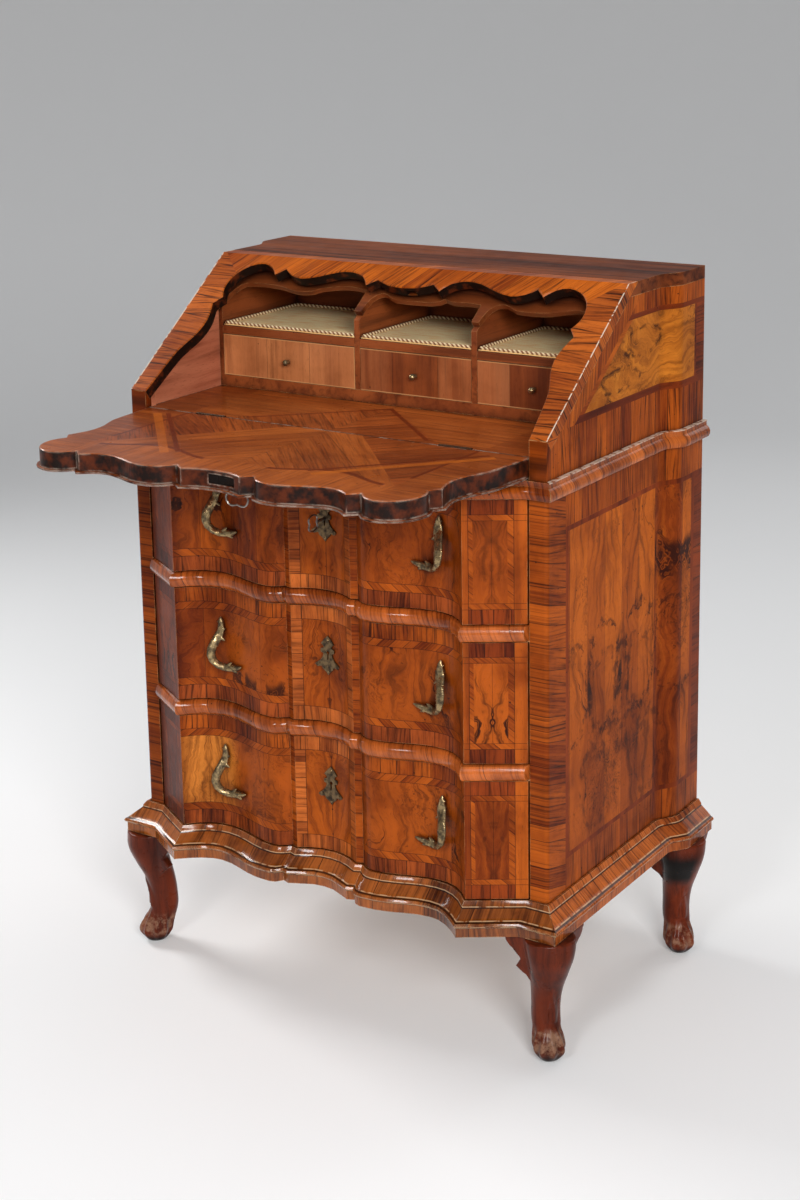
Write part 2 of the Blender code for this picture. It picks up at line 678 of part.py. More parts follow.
def slope_cutter(depth, low_up):
    """A block that takes away all that lies above a plane parallel to the slope."""
    reach = SLOPE_LENGTH
    corners = [
        (low_up, depth), (low_up + SLOPE_LENGTH + reach, depth),
        (low_up + SLOPE_LENGTH + reach, -reach), (low_up, -reach),
    ]
    return loft([
        [on_slope(x, up, deep) for up, deep in corners]
        for x in (-BODY_WIDTH, BODY_WIDTH)
    ])


def opening_line():
    """The shaped opening, from the foot of its right side over to the foot of its left side."""
    right = []
    for run in OPENING_RUN_SHARES:
        sized = [(across * HALF_WIDTH, up * SLOPE_LENGTH) for across, up in run]
        right += smooth_run(sized) if len(sized) > 2 else sized[:1]
    middle = OPENING_RUN_SHARES[-1][-1]
    left = [(-x, up) for x, up in reversed(right)]
    return right + [(middle[0] * HALF_WIDTH, middle[1] * SLOPE_LENGTH)] + left


# Carcass pieces


def side_outline(rounding):
    """The plan of the right side with its corner post."""
    turns = 4
    corner = []
    for step in range(turns + 1):
        angle = math.pi / 2 * step / turns
        corner.append((
            HALF_WIDTH - rounding + rounding * math.sin(angle),
            rounding - rounding * math.cos(angle),
        ))
    outer = side_line(0, corner[-1][1], BODY_DEPTH)[1:]
    return [(POST_INNER_X, 0)] + corner + outer + [
        (INNER_X, BODY_DEPTH), (INNER_X, POST_DEPTH), (POST_INNER_X, POST_DEPTH),
    ]


def make_sides():
    """The two sides, each with a corner post that is rounded up to the waist."""
    waist_middle = WAIST_Z + WAIST_HEIGHT / 2
    levels = (
        (PLINTH_Z, POST_ROUNDING), (waist_middle, POST_ROUNDING),
        (waist_middle + CLEARANCE, FRAME_EDGE_CHAMFER), (INTERIOR_TOP_Z, FRAME_EDGE_CHAMFER),
    )
    rings = [[(x, y, z) for x, y in side_outline(rounding)] for z, rounding in levels]
    cutter_depth = SLOPE_FRAME_THICKNESS + CLEARANCE
    for name, flip in (("side_right", 1), ("side_left", -1)):
        mesh = cut(name, loft(rings), slope_cutter(cutter_depth, -CLEARANCE))
        piece(name, moved(mesh, Matrix.Diagonal((flip, 1, 1, 1))), "walnut_side")


def make_top():
    """The top, whose front edge lies under the sloping frame."""
    right = side_line(0, 0, BODY_DEPTH)
    outline = right + mirrored(reversed(right))
    slab = prism(outline, TOP_Z, OVERALL_HEIGHT)
    mesh = cut("top_panel", slab, slope_cutter(SLOPE_FRAME_THICKNESS + CLEARANCE, -CLEARANCE))
    piece("top_panel", mesh, "walnut_top")


def make_back():
    """The boarded back, let in between the sides."""
    edge = INNER_X - CLEARANCE
    mesh = box_mesh((-edge, BACK_Y, PLINTH_Z), (edge, BODY_DEPTH, INTERIOR_TOP_Z))
    piece("back_panel", mesh, "pine_inner")


def make_sloping_frame():
    """The sloping frame round the shaped opening, mitred to the top."""
    rings = []
    for depth, inset in (
        (0, FRAME_EDGE_CHAMFER), (FRAME_EDGE_CHAMFER, 0), (SLOPE_FRAME_THICKNESS, 0)
    ):
        inner = offset_line(opening_line(), inset)
        inner[0] = (inner[0][0], 0)
        inner[-1] = (inner[-1][0], 0)
        outer = [
            (-HALF_WIDTH, 0), (-HALF_WIDTH, SLOPE_LENGTH + CUT_OVERRUN),
            (HALF_WIDTH, SLOPE_LENGTH + CUT_OVERRUN), (HALF_WIDTH, 0),
        ]
        rings.append([on_slope(x, up, depth) for x, up in outer + inner])
    mesh = loft(rings)
    above = box_mesh(
        (-BODY_WIDTH, 0, OVERALL_HEIGHT), (BODY_WIDTH, BODY_DEPTH, OVERALL_HEIGHT + BODY_DEPTH)
    )
    mortise = fall_frame_box(
        (FALL_LOCK_X - BOLT_WIDTH / 2 - SLIDING_GAP, fall_edge_reach(), bolt_top_depth() - SLIDING_GAP),
        (FALL_LOCK_X + BOLT_WIDTH / 2 + SLIDING_GAP,
         fall_edge_reach() + BOLT_TRAVEL + FALL_SIDE_GAP + SLIDING_GAP,
         bolt_top_depth() + BOLT_THICKNESS + SLIDING_GAP),
    )
    piece("slant_frame", cut("slant_frame", mesh, above, mortise), "walnut_front")


def make_writing_bed():
    """The fixed part of the writing surface, notched round the posts and for the hinges."""
    edge = INNER_X - CLEARANCE
    post = POST_INNER_X - CLEARANCE
    front = HINGE_Y + CLEARANCE
    shoulder = POST_DEPTH + CLEARANCE
    back = BACK_Y - CLEARANCE
    outline = [
        (-post, front), (post, front), (post, shoulder), (edge, shoulder), (edge, back),
        (-edge, back), (-edge, shoulder), (-post, shoulder),
    ]
    cutters = [hinge_pocket(side, 1) for side in (-1, 1)]
    mesh = cut("writing_bed", prism(outline, BED_Z, BED_TOP_Z), *cutters)
    piece("writing_bed", mesh, "walnut_writing")


def make_waist():
    """The board under the writing bed with the moulding round the waist."""
    levels = [
        (WAIST_PROJECTION * out, WAIST_Z + WAIST_HEIGHT * up) for out, up in WAIST_PROFILE_SHARES
    ]
    rings = []
    for projection, z in levels:
        corner = HALF_WIDTH + projection - CLEARANCE
        front = [(-corner, -projection)] + front_line(projection) + [(corner, -projection)]
        post = POST_INNER_X - CLEARANCE
        back = [
            (HALF_WIDTH, -CLEARANCE), (post, -CLEARANCE), (post, RAIL_DEPTH),
            (-post, RAIL_DEPTH), (-post, -CLEARANCE), (-HALF_WIDTH, -CLEARANCE),
        ]
        rings.append([(x, y, z) for x, y in front + back])
    mortise = box_mesh(
        (-BOLT_WIDTH / 2 - SLIDING_GAP, drawer_bolt_y() - SLIDING_GAP, WAIST_Z - CUT_OVERRUN),
        (BOLT_WIDTH / 2 + SLIDING_GAP, drawer_bolt_y() + BOLT_THICKNESS + SLIDING_GAP,
         WAIST_Z + BOLT_TRAVEL + SLIDING_GAP),
    )
    mesh = cut("waist_rail", loft(rings), mortise)
    piece("waist_rail", mesh, "walnut_moulding", smooth=True)
    make_side_mouldings("waist_moulding", levels)


def make_side_mouldings(name, levels):
    """A moulding along each side, mitred to the front one."""
    rings = []
    for projection, z in levels:
        outer = side_line(projection, CLEARANCE - projection, BODY_DEPTH)
        inner = side_line(CLEARANCE, CLEARANCE, BODY_DEPTH)
        rings.append([(x, y, z) for x, y in outer + inner[::-1]])
    for side, flip in (("right", 1), ("left", -1)):
        mesh = moved(loft(rings), Matrix.Diagonal((flip, 1, 1, 1)))
        piece(f"{name}_{side}", mesh, "walnut_moulding", smooth=True)


def make_rails():
    """The two rails between the drawers, each with its half-round moulding and its runners."""
    post = POST_INNER_X - CLEARANCE
    edge = INNER_X - CLEARANCE
    inner = edge - RUNNER_WIDTH
    shoulder = POST_DEPTH + CLEARANCE
    back = BACK_Y - CLEARANCE
    tail = [
        (post, 0), (post, shoulder), (edge, shoulder), (edge, back), (inner, back),
        (inner, RAIL_DEPTH),
    ]
    for name, low in (("rail_upper", RAIL_UPPER_Z), ("rail_lower", RAIL_LOWER_Z)):
        rings = []
        for step in range(RAIL_PROFILE_STEPS + 1):
            angle = math.pi * (step / RAIL_PROFILE_STEPS - 1 / 2)
            projection = CLEARANCE + RAIL_PROJECTION * math.cos(angle)
            z = low + RAIL_HEIGHT * (1 + math.sin(angle)) / 2
            outline = front_line(projection) + tail + mirrored(reversed(tail))
            rings.append([(x, y, z) for x, y in outline])
        piece(name, loft(rings), "walnut_moulding", smooth=True)


def make_bottom():
    """The board under the lowest drawer."""
    edge = INNER_X - CLEARANCE
    mesh = box_mesh(
        (-edge, POST_DEPTH + CLEARANCE, PLINTH_TOP_Z - BOTTOM_THICKNESS),
        (edge, BACK_Y - CLEARANCE, PLINTH_TOP_Z),
    )
    piece("bottom_board", mesh, "pine_inner")


def make_plinth():
    """The moulded plinth in three mitred lengths."""
    levels = [
        (PLINTH_PROJECTION * out, PLINTH_Z + PLINTH_HEIGHT * up)
        for out, up in PLINTH_PROFILE_SHARES
    ]
    rings = []
    post = POST_INNER_X - CLEARANCE
    for projection, z in levels:
        corner = HALF_WIDTH + projection - CLEARANCE
        front = [(-corner, -projection)] + front_line(projection) + [(corner, -projection)]
        back = [
            (HALF_WIDTH, -CLEARANCE), (post, -CLEARANCE), (post, POST_DEPTH),
            (-post, POST_DEPTH), (-post, -CLEARANCE), (-HALF_WIDTH, -CLEARANCE),
        ]
        rings.append([(x, y, z) for x, y in front + back])
    piece("plinth_front", loft(rings), "walnut_moulding", smooth=True)
    make_side_mouldings("plinth", levels)


# Legs


def leg_shape(side_reach):
    """A cabriole leg for the right front corner, with its foot's middle at the origin."""
    outward = Vector((1, -1, 0)).normalized()
    across = Vector((1, 1, 0)).normalized()
    ankle = -outward * FOOT_REACH
    rings = []
    for height, reach, long_half, wide_half in LEG_SECTION_SHARES:
        middle = ankle + outward * KNEE_REACH * reach
        ring = []
        for step in range(LEG_SECTION_SIDES):
            angle = 2 * math.pi * step / LEG_SECTION_SIDES
            c = math.cos(angle)
            s = math.sin(angle)
            power = 0.8
            along = math.copysign(abs(c) ** power, c) * ANKLE_HALF_WIDTH * long_half
            aside = math.copysign(abs(s) ** power, s) * ANKLE_HALF_WIDTH * wide_half
            point = middle + outward * along + across * aside
            ring.append((point.x, point.y, LEG_HEIGHT * height))
        rings.append(ring)
    body = loft(rings)
    top = LEG_HEIGHT
    knee = ankle + outward * KNEE_REACH
    front_bracket = front_prism(
        [(knee.x - along * BRACKET_REACH, top + down * BRACKET_HEIGHT)
         for along, down in BRACKET_OUTLINE_SHARES],
        knee.y - BRACKET_FACE, knee.y - BRACKET_FACE + BRACKET_THICKNESS,
    )
    side_bracket = side_prism(
        [(knee.y + along * side_reach, top + down * BRACKET_HEIGHT)
         for along, down in BRACKET_OUTLINE_SHARES],
        knee.x + BRACKET_FACE - BRACKET_THICKNESS, knee.x + BRACKET_FACE,
    )
    return fused("leg", body, front_bracket, side_bracket)


def make_legs():
    """Four legs; the rear ones turn the same way as the front ones."""
    front = (HALF_WIDTH - FOOT_INSET_X, FOOT_INSET_Y)
    rear = (HALF_WIDTH + SIDE_FLARE - REAR_FOOT_INSET_X, BODY_DEPTH - REAR_FOOT_INSET_Y)
    rows = (("front", front, BRACKET_REACH), ("back", rear, REAR_BRACKET_REACH))
    for row, (x, y), side_reach in rows:
        for side, flip in (("right", 1), ("left", -1)):
            place = Matrix.Diagonal((flip, 1, 1, 1)) @ Matrix.Translation((x, y, 0))
            mesh = moved(leg_shape(side_reach), place)
            piece(f"leg_{row}_{side}", mesh, "stained_beech", smooth=True)


# Writing interior


def slope_plane_y(z, depth):
    """Where a plane parallel to the slope stands at a height."""
    level = SLOPE_START_Z - depth / math.cos(SLOPE_ANGLE)
    return (z - level) / math.tan(SLOPE_ANGLE)


def slope_plane_z(y, depth):
    """The height of a plane parallel to the slope at a place from front to back."""
    return SLOPE_START_Z - depth / math.cos(SLOPE_ANGLE) + y * math.tan(SLOPE_ANGLE)


def case_wall(x_low, x_high, low):
    """An upright wall of the pigeonholes, whose front edge leans back under the slope."""
    bend_z = slope_plane_z(PIGEONHOLE_FRONT_Y, CASE_SLOPE_DEPTH)
    back = PIGEONHOLE_BACK_Y - CLEARANCE
    return side_prism(
        [
            (PIGEONHOLE_FRONT_Y, low), (back, low), (back, INTERIOR_TOP_Z),
            (slope_plane_y(INTERIOR_TOP_Z, CASE_SLOPE_DEPTH), INTERIOR_TOP_Z),
            (PIGEONHOLE_FRONT_Y, bend_z),
        ],
        x_low, x_high,
    )


def compartments():
    """The clear width of each pigeonhole, from left to right."""
    wall = INNER_X - CLEARANCE - CASE_SIDE_THICKNESS
    half = DIVIDER_THICKNESS / 2
    edges = [-wall, DIVIDER_1_X - half, DIVIDER_1_X + half, DIVIDER_2_X - half, DIVIDER_2_X + half, wall]
    return list(zip(edges[::2], edges[1::2]))


def make_pigeonholes():
    """The case, dividers, shelf and back of the pigeonholes."""
    edge = INNER_X - CLEARANCE
    wall = edge - CASE_SIDE_THICKNESS
    back = PIGEONHOLE_BACK_Y - CLEARANCE
    base = box_mesh((-edge, PIGEONHOLE_FRONT_Y, CASE_BASE_Z), (edge, back, CASE_FLOOR_Z))
    walls = [case_wall(low, high, CASE_BASE_Z) for low, high in ((-edge, -wall), (wall, edge))]
    piece("pigeonhole_case", fused("case", base, *walls), "stained_beech")

    half = DIVIDER_THICKNESS / 2
    middle_y = (PIGEONHOLE_FRONT_Y + PIGEONHOLE_BACK_Y) / 2
    for number, x in ((1, DIVIDER_1_X), (2, DIVIDER_2_X)):
        slot = box_mesh(
            (x - DIVIDER_THICKNESS, middle_y, SHELF_Z - CLEARANCE),
            (x + DIVIDER_THICKNESS, BODY_DEPTH, SHELF_TOP_Z + CLEARANCE),
        )
        standing = case_wall(x - half, x + half, CASE_FLOOR_Z + CLEARANCE)
        piece(f"divider_{number}", cut(f"divider_{number}", standing, slot), "stained_beech")

    shelf_edge = wall - CLEARANCE
    shelf = box_mesh((-shelf_edge, PIGEONHOLE_FRONT_Y, SHELF_Z), (shelf_edge, back, SHELF_TOP_Z))
    slots = [
        box_mesh(
            (x - half - CLEARANCE, 0, SHELF_Z - CUT_OVERRUN),
            (x + half + CLEARANCE, middle_y + CLEARANCE, SHELF_TOP_Z + CUT_OVERRUN),
        )
        for x in (DIVIDER_1_X, DIVIDER_2_X)
    ]
    piece("pigeonhole_shelf", cut("shelf", shelf, *slots), "stained_beech")

    mesh = box_mesh(
        (-edge, PIGEONHOLE_BACK_Y, CASE_BASE_Z),
        (edge, PIGEONHOLE_BACK_Y + PIGEONHOLE_BACK_THICKNESS, INTERIOR_TOP_Z),
    )
    piece("pigeonhole_back", mesh, "walnut_side")


def make_linings():
    """A fabric lining on the shelf in each pigeonhole."""
    low = SHELF_TOP_Z + CLEARANCE
    for side, (left, right) in zip(("left", "middle", "right"), compartments()):
        mesh = box_mesh(
            (left + LINING_SIDE_GAP, PIGEONHOLE_FRONT_Y + LINING_FRONT_GAP, low),
            (right - LINING_SIDE_GAP, PIGEONHOLE_BACK_Y - CLEARANCE - LINING_SIDE_GAP,
             low + LINING_THICKNESS),
        )
        piece(f"lining_{side}", mesh, "fabric")


def make_valance():
    """The shaped board behind the sloping frame, which the closed fall meets."""
    edge = INNER_X - CLEARANCE
    low = VALANCE_BRACKET_SHARE * SLOPE_LENGTH
    line = []
    for index, run in enumerate(VALANCE_RUN_SHARES):
        sized = [(across * HALF_WIDTH, up * SLOPE_LENGTH) for across, up in run]
        if index:
            line.append((sized[0][0], low))
        line += [(min(max(x, -edge), edge), up) for x, up in smooth_run(sized) + sized[-1:]]
        if index < len(VALANCE_RUN_SHARES) - 1:
            line.append((sized[-1][0], low))
    top = SLOPE_LENGTH + CUT_OVERRUN
    outline = line + [(edge, top), (-edge, top)]
    mesh = loft([
        [on_slope(x, up, depth) for x, up in outline]
        for depth in (VALANCE_DEPTH, VALANCE_DEPTH + VALANCE_THICKNESS)
    ])
    above = box_mesh(
        (-BODY_WIDTH, 0, INTERIOR_TOP_Z), (BODY_WIDTH, BODY_DEPTH, INTERIOR_TOP_Z + BODY_DEPTH)
    )
    piece("valance", cut("valance", mesh, above), "stained_beech")


# Fall


def fall_point(x, reach, depth):
    """A point of the open fall: across, out from the hinge and down from its writing face."""
    return (x, HINGE_Y - reach, HINGE_Z - depth)


def fall_box(low, high):
    """A box in the open fall, given across, out from the hinge and down from its face."""
    a = fall_point(*low)
    b = fall_point(*high)
    return box_mesh([min(p, q) for p, q in zip(a, b)], [max(p, q) for p, q in zip(a, b)])


def fall_frame_box(low, high):
    """The same box as it lies when the fall is closed."""
    turn = (
        Matrix.Translation((0, HINGE_Y, HINGE_Z))
        @ Matrix.Rotation(-(math.pi - SLOPE_ANGLE), 4, "X")
        @ Matrix.Translation((0, -HINGE_Y, -HINGE_Z))
    )
    return moved(fall_box(low, high), turn)


def fall_line(inset):
    """The fall's outline: the opening's, inset, from the hinge out and back to the hinge."""
    line = offset_line(opening_line(), -inset)
    line = [(x, up - FALL_SLOPE_OFFSET) for x, up in line]
    foot = line[0][0]
    return [(foot, 0)] + line + [(-foot, 0)]


def fall_edge_reach():
    """How far the fall's free edge lies from the hinge, at its lock."""
    near = [reach for x, reach in fall_line(FALL_SIDE_GAP) if abs(x - FALL_LOCK_X) < FALL_LOCK_X * 2]
    return min(near)


def bolt_top_depth():
    """How deep the fall's bolt lies under the writing face."""
    return FALL_LOCK_COVER + (LOCK_THICKNESS - BOLT_THICKNESS) / 2


def make_fall():
    """The fall, whose lip covers the edge of the opening when it is closed."""
    levels = (
        (0, FALL_SIDE_GAP + FALL_EDGE_CHAMFER),
        (FALL_EDGE_CHAMFER, FALL_SIDE_GAP),
        (FALL_DEPTH + CLEARANCE, FALL_SIDE_GAP),
        (FALL_DEPTH + CLEARANCE * 2, -FALL_LIP_OVERHANG),
        (FALL_DEPTH + FALL_LIP * 0.7, -FALL_LIP_OVERHANG),
        (FALL_DEPTH + FALL_LIP, -FALL_LIP_OVERHANG / 2),
    )
    inner = fall_line(FALL_SIDE_GAP)
    lip_start = FALL_LIP_OVERHANG - FALL_SLOPE_OFFSET
    rings = []
    for depth, inset in levels:
        line = fall_line(inset)
        if inset < 0:
            line = [
                here if safe[1] > lip_start else safe for here, safe in zip(line, inner)
            ]
        line[0] = (line[0][0], CLEARANCE)
        line[-1] = (line[-1][0], CLEARANCE)
        rings.append([fall_point(x, reach, depth) for x, reach in line])
    edge = fall_edge_reach()
    half = LOCK_WIDTH / 2 + CLEARANCE
    pocket = fall_box(
        (FALL_LOCK_X - half, edge - FALL_LOCK_BACKSET - LOCK_TAIL - CLEARANCE,
         FALL_LOCK_COVER - CLEARANCE),
        (FALL_LOCK_X + half, edge + CUT_OVERRUN, FALL_LOCK_COVER + LOCK_THICKNESS + CLEARANCE),
    )
    key_reach = edge - FALL_LOCK_BACKSET
    key_hole = rod_mesh(
        fall_point(FALL_LOCK_X, key_reach, FALL_LOCK_COVER + LOCK_THICKNESS / 2),
        fall_point(FALL_LOCK_X, key_reach, FALL_DEPTH + CUT_OVERRUN), KEYHOLE_RADIUS,
    )
    key_slot = fall_box(
        (FALL_LOCK_X - KEYHOLE_SLOT_WIDTH / 2, key_reach - KEYHOLE_SLOT_LENGTH,
         FALL_LOCK_COVER + LOCK_THICKNESS / 2),
        (FALL_LOCK_X + KEYHOLE_SLOT_WIDTH / 2, key_reach, FALL_DEPTH + CUT_OVERRUN),
    )
    cutters = [hinge_pocket(side, -1) for side in (-1, 1)]
    mesh = cut("fall_board", loft(rings), pocket, key_hole, key_slot, *cutters)
    piece("fall_board", mesh, "walnut_writing", origin=(0, HINGE_Y, HINGE_Z))


# Butt hinges


def hinge_pocket(side, leaf_way):
    """The room cut for one hinge leaf and the knuckles. leaf_way is 1 for the bed, -1 for the fall."""
    x = side * HINGE_X
    half = HINGE_LENGTH / 2 + CLEARANCE
    room = HINGE_BARREL_RADIUS + SLIDING_GAP
    leaf = HINGE_LEAF_THICKNESS + CLEARANCE * 2
    low = HINGE_Z - HINGE_LEAF_HEIGHT - CLEARANCE
    outline = [
        (0, low), (leaf, low), (leaf, HINGE_Z - room), (room, HINGE_Z - room),
        (room, HINGE_Z + CUT_OVERRUN), (-room, HINGE_Z + CUT_OVERRUN), (-room, low),
    ]
    return side_prism(
        [(HINGE_Y + leaf_way * y, z) for y, z in outline], x - half, x + half
    )


def hinge_leaf(name, x, leaf_way, knuckles, others):
    """A leaf with its knuckles on the hinge's axis."""
    plate_y = sorted((
        HINGE_Y + leaf_way * CLEARANCE, HINGE_Y + leaf_way * (CLEARANCE + HINGE_LEAF_THICKNESS)
    ))
    half = HINGE_LENGTH / 2
    plate = box_mesh(
        (x - half, plate_y[0], HINGE_Z - HINGE_LEAF_HEIGHT), (x + half, plate_y[1], HINGE_Z)
    )
    room = HINGE_BARREL_RADIUS + CLEARANCE
    notches = [
        box_mesh((x + low - CLEARANCE, HINGE_Y - room, HINGE_Z - room),
                 (x + high + CLEARANCE, HINGE_Y + room, HINGE_Z + room))
        for low, high in others
    ]
    barrels = [
        rod_mesh((x + low, HINGE_Y, HINGE_Z), (x + high, HINGE_Y, HINGE_Z), HINGE_BARREL_RADIUS)
        for low, high in knuckles
    ]
    return fused(name, cut(name, plate, *notches), *barrels)


def make_hinges():
    """Two butt hinges: the leaf on the bed carries the pin, and the fall's leaf turns on it."""
    half = HINGE_LENGTH / 2
    middle = HINGE_MIDDLE_KNUCKLE / 2
    outer = ((-half, -middle - CLEARANCE), (middle + CLEARANCE, half))
    inner = ((-middle, middle),)
    for side, flip in (("right", 1), ("left", -1)):
        x = flip * HINGE_X
        bed_leaf = hinge_leaf("bed_leaf", x, 1, outer, inner)
        pin = rod_mesh((x - half / 2, HINGE_Y, HINGE_Z), (x + half / 2, HINGE_Y, HINGE_Z), HINGE_PIN_RADIUS)
        piece(f"hinge_leaf_bed_{side}", fused("bed_leaf", bed_leaf, pin), "brass")
        fall_leaf = hinge_leaf("fall_leaf", x, -1, inner, outer)
        bore = rod_mesh((x - half, HINGE_Y, HINGE_Z), (x + half, HINGE_Y, HINGE_Z), HINGE_BORE_RADIUS)
        piece(
            f"hinge_leaf_fall_{side}", cut("fall_leaf", fall_leaf, bore), "brass",
            origin=(0, HINGE_Y, HINGE_Z),
        )


# Locks and keys. Each is drawn with the key along +Z into the lock, the bolt along +Y, and the key's
# axis on the origin; the lock's near face is at its own height.


def lock_shape(backset):
    """A lock case with a round pocket for the bit and a slot for the bolt."""
    half = LOCK_WIDTH / 2
    case = box_mesh((-half, -LOCK_TAIL, 0), (half, backset - CLEARANCE, LOCK_THICKNESS))
    pocket = rod_mesh((0, 0, -CUT_OVERRUN), (0, 0, LOCK_POCKET_DEPTH), LOCK_POCKET_RADIUS)
    slot_half = BOLT_WIDTH / 2 + CLEARANCE
    low = (LOCK_THICKNESS - BOLT_THICKNESS) / 2 - CLEARANCE
    slot = box_mesh(
        (-slot_half, backset - BOLT_SETBACK - BOLT_LENGTH - CLEARANCE, low),
        (slot_half, backset + CUT_OVERRUN, LOCK_THICKNESS - low),
    )
    return cut("lock", case, pocket, slot)


def bolt_shape(backset):
    """The bolt, drawn back."""
    half = BOLT_WIDTH / 2
    low = (LOCK_THICKNESS - BOLT_THICKNESS) / 2
    return box_mesh(
        (-half, backset - BOLT_SETBACK - BOLT_LENGTH, low),
        (half, backset - BOLT_SETBACK, LOCK_THICKNESS - low),
    )


def key_shape(neck_depth, bow_width, bow_height):
    """A key in lock space, its bow starting at the given depth before the lock's case."""
    tip = LOCK_POCKET_DEPTH - CLEARANCE * 2
    neck = -neck_depth
    shank = rod_mesh((0, 0, neck - KEY_BOW_WIRE), (0, 0, tip), KEY_SHANK_RADIUS, 12)
    bit = box_mesh((-KEY_BIT_WIDTH / 2, 0, tip - KEY_BIT_LENGTH), (KEY_BIT_WIDTH / 2, KEY_BIT_REACH, tip))
    right = [
        (across * bow_width / 2, neck - up * bow_height) for across, up in KEY_BOW_SHARES
    ]
    loop = smooth_run(right) + [right[-1]]
    loop += [(-x, z) for x, z in reversed(loop[1:-1])]
    bow = closed_wire([(0, y, z) for y, z in loop], KEY_BOW_WIRE)
    return fused("key", shank, bit, bow)


def closed_wire(points, radius):
    """A round wire bent into a closed loop."""
    curve = bpy.data.curves.new("wire", "CURVE")
    curve.dimensions = "3D"
    curve.bevel_depth = radius
    curve.bevel_resolution = WIRE_SIDES_RESOLUTION
    spline = curve.splines.new("POLY")
    spline.points.add(len(points) - 1)
    for point, place in zip(spline.points, points):
        point.co = (*place, 1)
    spline.use_cyclic_u = True
    return curve_mesh(curve)


def curve_mesh(curve):
    """The closed mesh of a curve."""
    holder = add_object("wire", curve, CUTTERS)
    evaluated = holder.evaluated_get(bpy.context.evaluated_depsgraph_get())
    mesh = bpy.data.meshes.new_from_object(evaluated)
    bpy.data.objects.remove(holder, do_unlink=True)
    builder = bmesh.new()
    builder.from_mesh(mesh)
    bmesh.ops.remove_doubles(builder, verts=builder.verts, dist=CLEARANCE / 30)
    bmesh.ops.recalc_face_normals(builder, faces=builder.faces)
    builder.to_mesh(mesh)
    builder.free()
    return mesh


def make_fall_lock():
    """The fall's lock, its bolt and the key that hangs under the open fall."""
    edge = fall_edge_reach()
    cover = FALL_DEPTH + FALL_LIP - FALL_LOCK_COVER - LOCK_THICKNESS
    # lock space to fall space: key points up, bolt points out from the hinge
    place = Matrix.Translation(
        fall_point(FALL_LOCK_X, edge - FALL_LOCK_BACKSET, FALL_LOCK_COVER + LOCK_THICKNESS)
    ) @ Matrix.Rotation(math.pi, 4, "Z")
    hinge = (0, HINGE_Y, HINGE_Z)
    piece("fall_lock", moved(lock_shape(FALL_LOCK_BACKSET), place), "steel", origin=hinge)
    piece("fall_bolt", moved(bolt_shape(FALL_LOCK_BACKSET), place), "steel", origin=hinge)
    quarter_turn = Matrix.Rotation(math.pi / 2, 4, "Z")
    key = key_shape(cover + FALL_KEY_NECK, FALL_KEY_BOW_WIDTH, FALL_KEY_BOW_HEIGHT)
    key = moved(key, place @ quarter_turn)
    piece("fall_key", key, "steel", origin=place.to_translation(), smooth=True)


# Long drawers


def drawer_levels():
    """The name and the floor of each drawer opening, from the top."""
    return (
        ("drawer_1", RAIL_UPPER_Z + RAIL_HEIGHT),
        ("drawer_2", RAIL_LOWER_Z + RAIL_HEIGHT),
        ("drawer_3", PLINTH_TOP_Z),
    )


def keyhole_z(low):
    """The height of a drawer's keyhole."""
    return low + DRAWER_OPENING / 2 + KEYHOLE_RISE


def drawer_bolt_y():
    """The front face of the top drawer's bolt."""
    return FRONT_BOARD_BACK_Y + CLEARANCE + (LOCK_THICKNESS - BOLT_THICKNESS) / 2


def make_drawer(name, low, handle_rise):
    """One long drawer: its shaped front and its box."""
    bottom = low + DRAWER_GAP
    top = low + DRAWER_OPENING - DRAWER_GAP
    outline = front_line(0) + [
        (FRONT_HALF_WIDTH, FRONT_BOARD_BACK_Y), (-FRONT_HALF_WIDTH, FRONT_BOARD_BACK_Y),
    ]
    front = prism(outline, bottom, top)
    z = keyhole_z(low)
    hole = rod_mesh((0, -BODY_DEPTH, z), (0, BODY_DEPTH, z), KEYHOLE_RADIUS)
    slot = box_mesh(
        (-KEYHOLE_SLOT_WIDTH / 2, -BODY_DEPTH, z - KEYHOLE_SLOT_LENGTH),
        (KEYHOLE_SLOT_WIDTH / 2, BODY_DEPTH, z),
    )
    piece(f"{name}_front", cut(name, front, hole, slot), "walnut_front")

    half = POST_INNER_X - DRAWER_SIDE_GAP
    box_low = low + SLIDING_GAP
    box_high = low + DRAWER_OPENING - DRAWER_HEADROOM
    front_y = FRONT_BOARD_BACK_Y + CLEARANCE
    back_y = front_y + DRAWER_DEPTH
    outer = box_mesh((-half, front_y, box_low), (half, back_y, box_high))
    hollow = box_mesh(
        (-half + DRAWER_SIDE, front_y - CUT_OVERRUN, box_low + DRAWER_BOTTOM),
        (half - DRAWER_SIDE, back_y - DRAWER_SIDE, box_high + CUT_OVERRUN),
    )
    piece(f"{name}_box", cut(name, outer, hollow), "pine_inner")
    make_escutcheon(f"{name}_escutcheon", low)
    for side, flip in (("right", 1), ("left", -1)):
        make_handle(f"{name}_handle_{side}", low + DRAWER_OPENING / 2 + handle_rise, flip)


